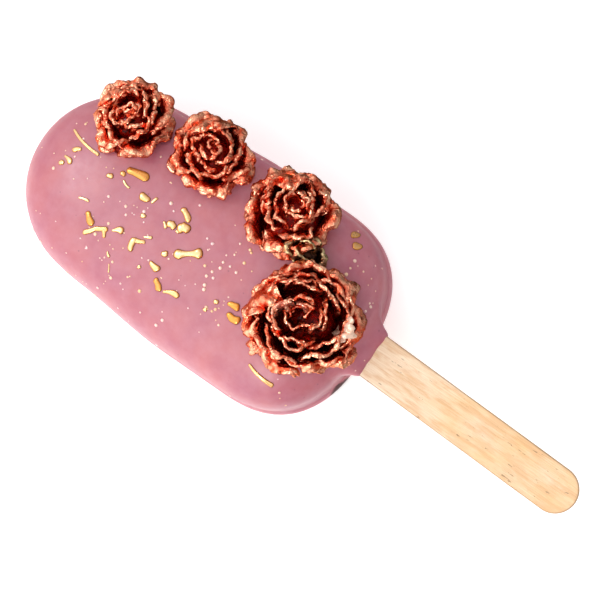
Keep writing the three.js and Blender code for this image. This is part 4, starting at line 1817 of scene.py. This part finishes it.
@dataclass(frozen=True)
class Studio:
    """The pale floor, the soft light, and the camera that looks down as the photo's did.

    Places and sizes are millimetres, apart from clip, the nearest and farthest that the camera sees,
    in metres, and right points to the picture's right. The room brightens from horizon to zenith as a
    direction's Z runs through haze, and a glow as the direction's nearness to its own, 1 straight at
    it, runs through glow_fade.
    """

    right: Triple = (0.559, -0.829, 0.0)
    eye: Triple = (14.4, -118.0, 600.0)
    aim: Triple = (2.7, -27.5, 12.0)
    lens: float = 155.0
    clip: Pair = (0.01, 10.0)
    floor_half: float = 1500.0
    floor_drop: float = 0.05
    horizon: float = 0.16
    zenith: float = 0.42
    haze: Pair = (0.1, 0.8)
    glow_fade: Pair = (0.4, 1.0)
    lamps: tuple[Lamp, ...] = (
        Lamp("veil", (-190, 60, 640), 480, 0.6),
        Lamp("key", (-430, 60, 360), 420, 0.3),
        Lamp("sparkle", (-60, 380, 600), 36, 2.0, sheen_only=True),
        Lamp("glint", (-420, -160, 420), 36, 1.0, sheen_only=True),
    )

    def aimed(self, made: bpy.types.Object, place: Triple, right: Triple = (1.0, 0.0, 0.0)) -> None:
        """Places a camera or lamp and points it at the middle of the piece.

        Args:
            made: The camera or lamp.
            place: Where it stands, in millimetres.
            right: The way that its own right points, as nearly as its aim allows.
        """
        back = (Vector(place) - Vector(self.aim)).normalized()
        side = Vector(right)
        side = (side - back * side.dot(back)).normalized()
        turn = Matrix((side, back.cross(side), back)).transposed()
        made.matrix_world = Matrix.Translation(Vector(place) * MM) @ turn.to_4x4()

    def add_floor(self) -> None:
        """Makes the floor, just below the piece and out of its reflections."""
        half, low = self.floor_half, -self.floor_drop
        corners = np.array([(-half, -half, low), (half, -half, low), (half, half, low), (-half, half, low)])
        floor = make_object("floor", corners, [(0, 1, 2, 3)], FLOOR.material())
        floor.visible_glossy = False

    def add_lamps(self) -> None:
        """Makes the lamps."""
        for lamp in self.lamps:
            data = bpy.data.lights.new(lamp.name, "AREA")
            data.size = lamp.side * MM
            data.energy = lamp.watts
            made = bpy.data.objects.new(lamp.name, data)
            made.visible_diffuse = not lamp.sheen_only
            bpy.context.scene.collection.objects.link(made)
            self.aimed(made, lamp.place)

    def room(self) -> bpy.types.World:
        """A white room, brighter overhead than along the horizon, with a few soft glows."""
        world = bpy.data.worlds.new("soft_room")
        world.use_nodes = True
        sheet = ShaderSheet(world.node_tree)
        way = sheet.add("TexCoord").outputs["Generated"]
        light = sheet.span(sheet.axis("Z", way), self.haze, (self.horizon, self.zenith))
        for glow in Glow:
            strength, source = glow.value
            nearness = sheet.vector("DOT_PRODUCT", way, source).outputs["Value"]
            light = sheet.math("ADD", light, sheet.span(nearness, self.glow_fade, (0.0, strength)))
        background = world.node_tree.nodes["Background"]
        background.inputs["Color"].default_value = (1, 1, 1, 1)
        sheet.give(background.inputs["Strength"], light)
        return world

    def add_camera(self) -> None:
        """Makes the camera and gives it to the scene."""
        data = bpy.data.cameras.new("camera")
        data.lens = self.lens
        data.clip_start, data.clip_end = self.clip
        camera = bpy.data.objects.new("camera", data)
        bpy.context.scene.collection.objects.link(camera)
        self.aimed(camera, self.eye, self.right)
        bpy.context.scene.camera = camera

    def build(self) -> None:
        """Makes the floor, the lamps, the room and the camera."""
        self.add_floor()
        self.add_lamps()
        bpy.context.scene.world = self.room()
        self.add_camera()
        bpy.context.scene.view_settings.view_transform = "Standard"


def main() -> None:
    """Builds the pieces in order and logs each."""
    logging.basicConfig(level=logging.INFO, format="%(name)s: %(message)s")
    bar = Bar()
    stick = Stick()
    shell = Coating(bar, stick).build()
    stick.build()
    GoldSplashes(bar).build()
    rose_list = roses(bar)
    GoldSpecks(shell, tuple(rose.covered() for rose in rose_list)).build()
    for rose in rose_list:
        rose.build()
    Studio().build()


if __name__ == "__main__":
    main()
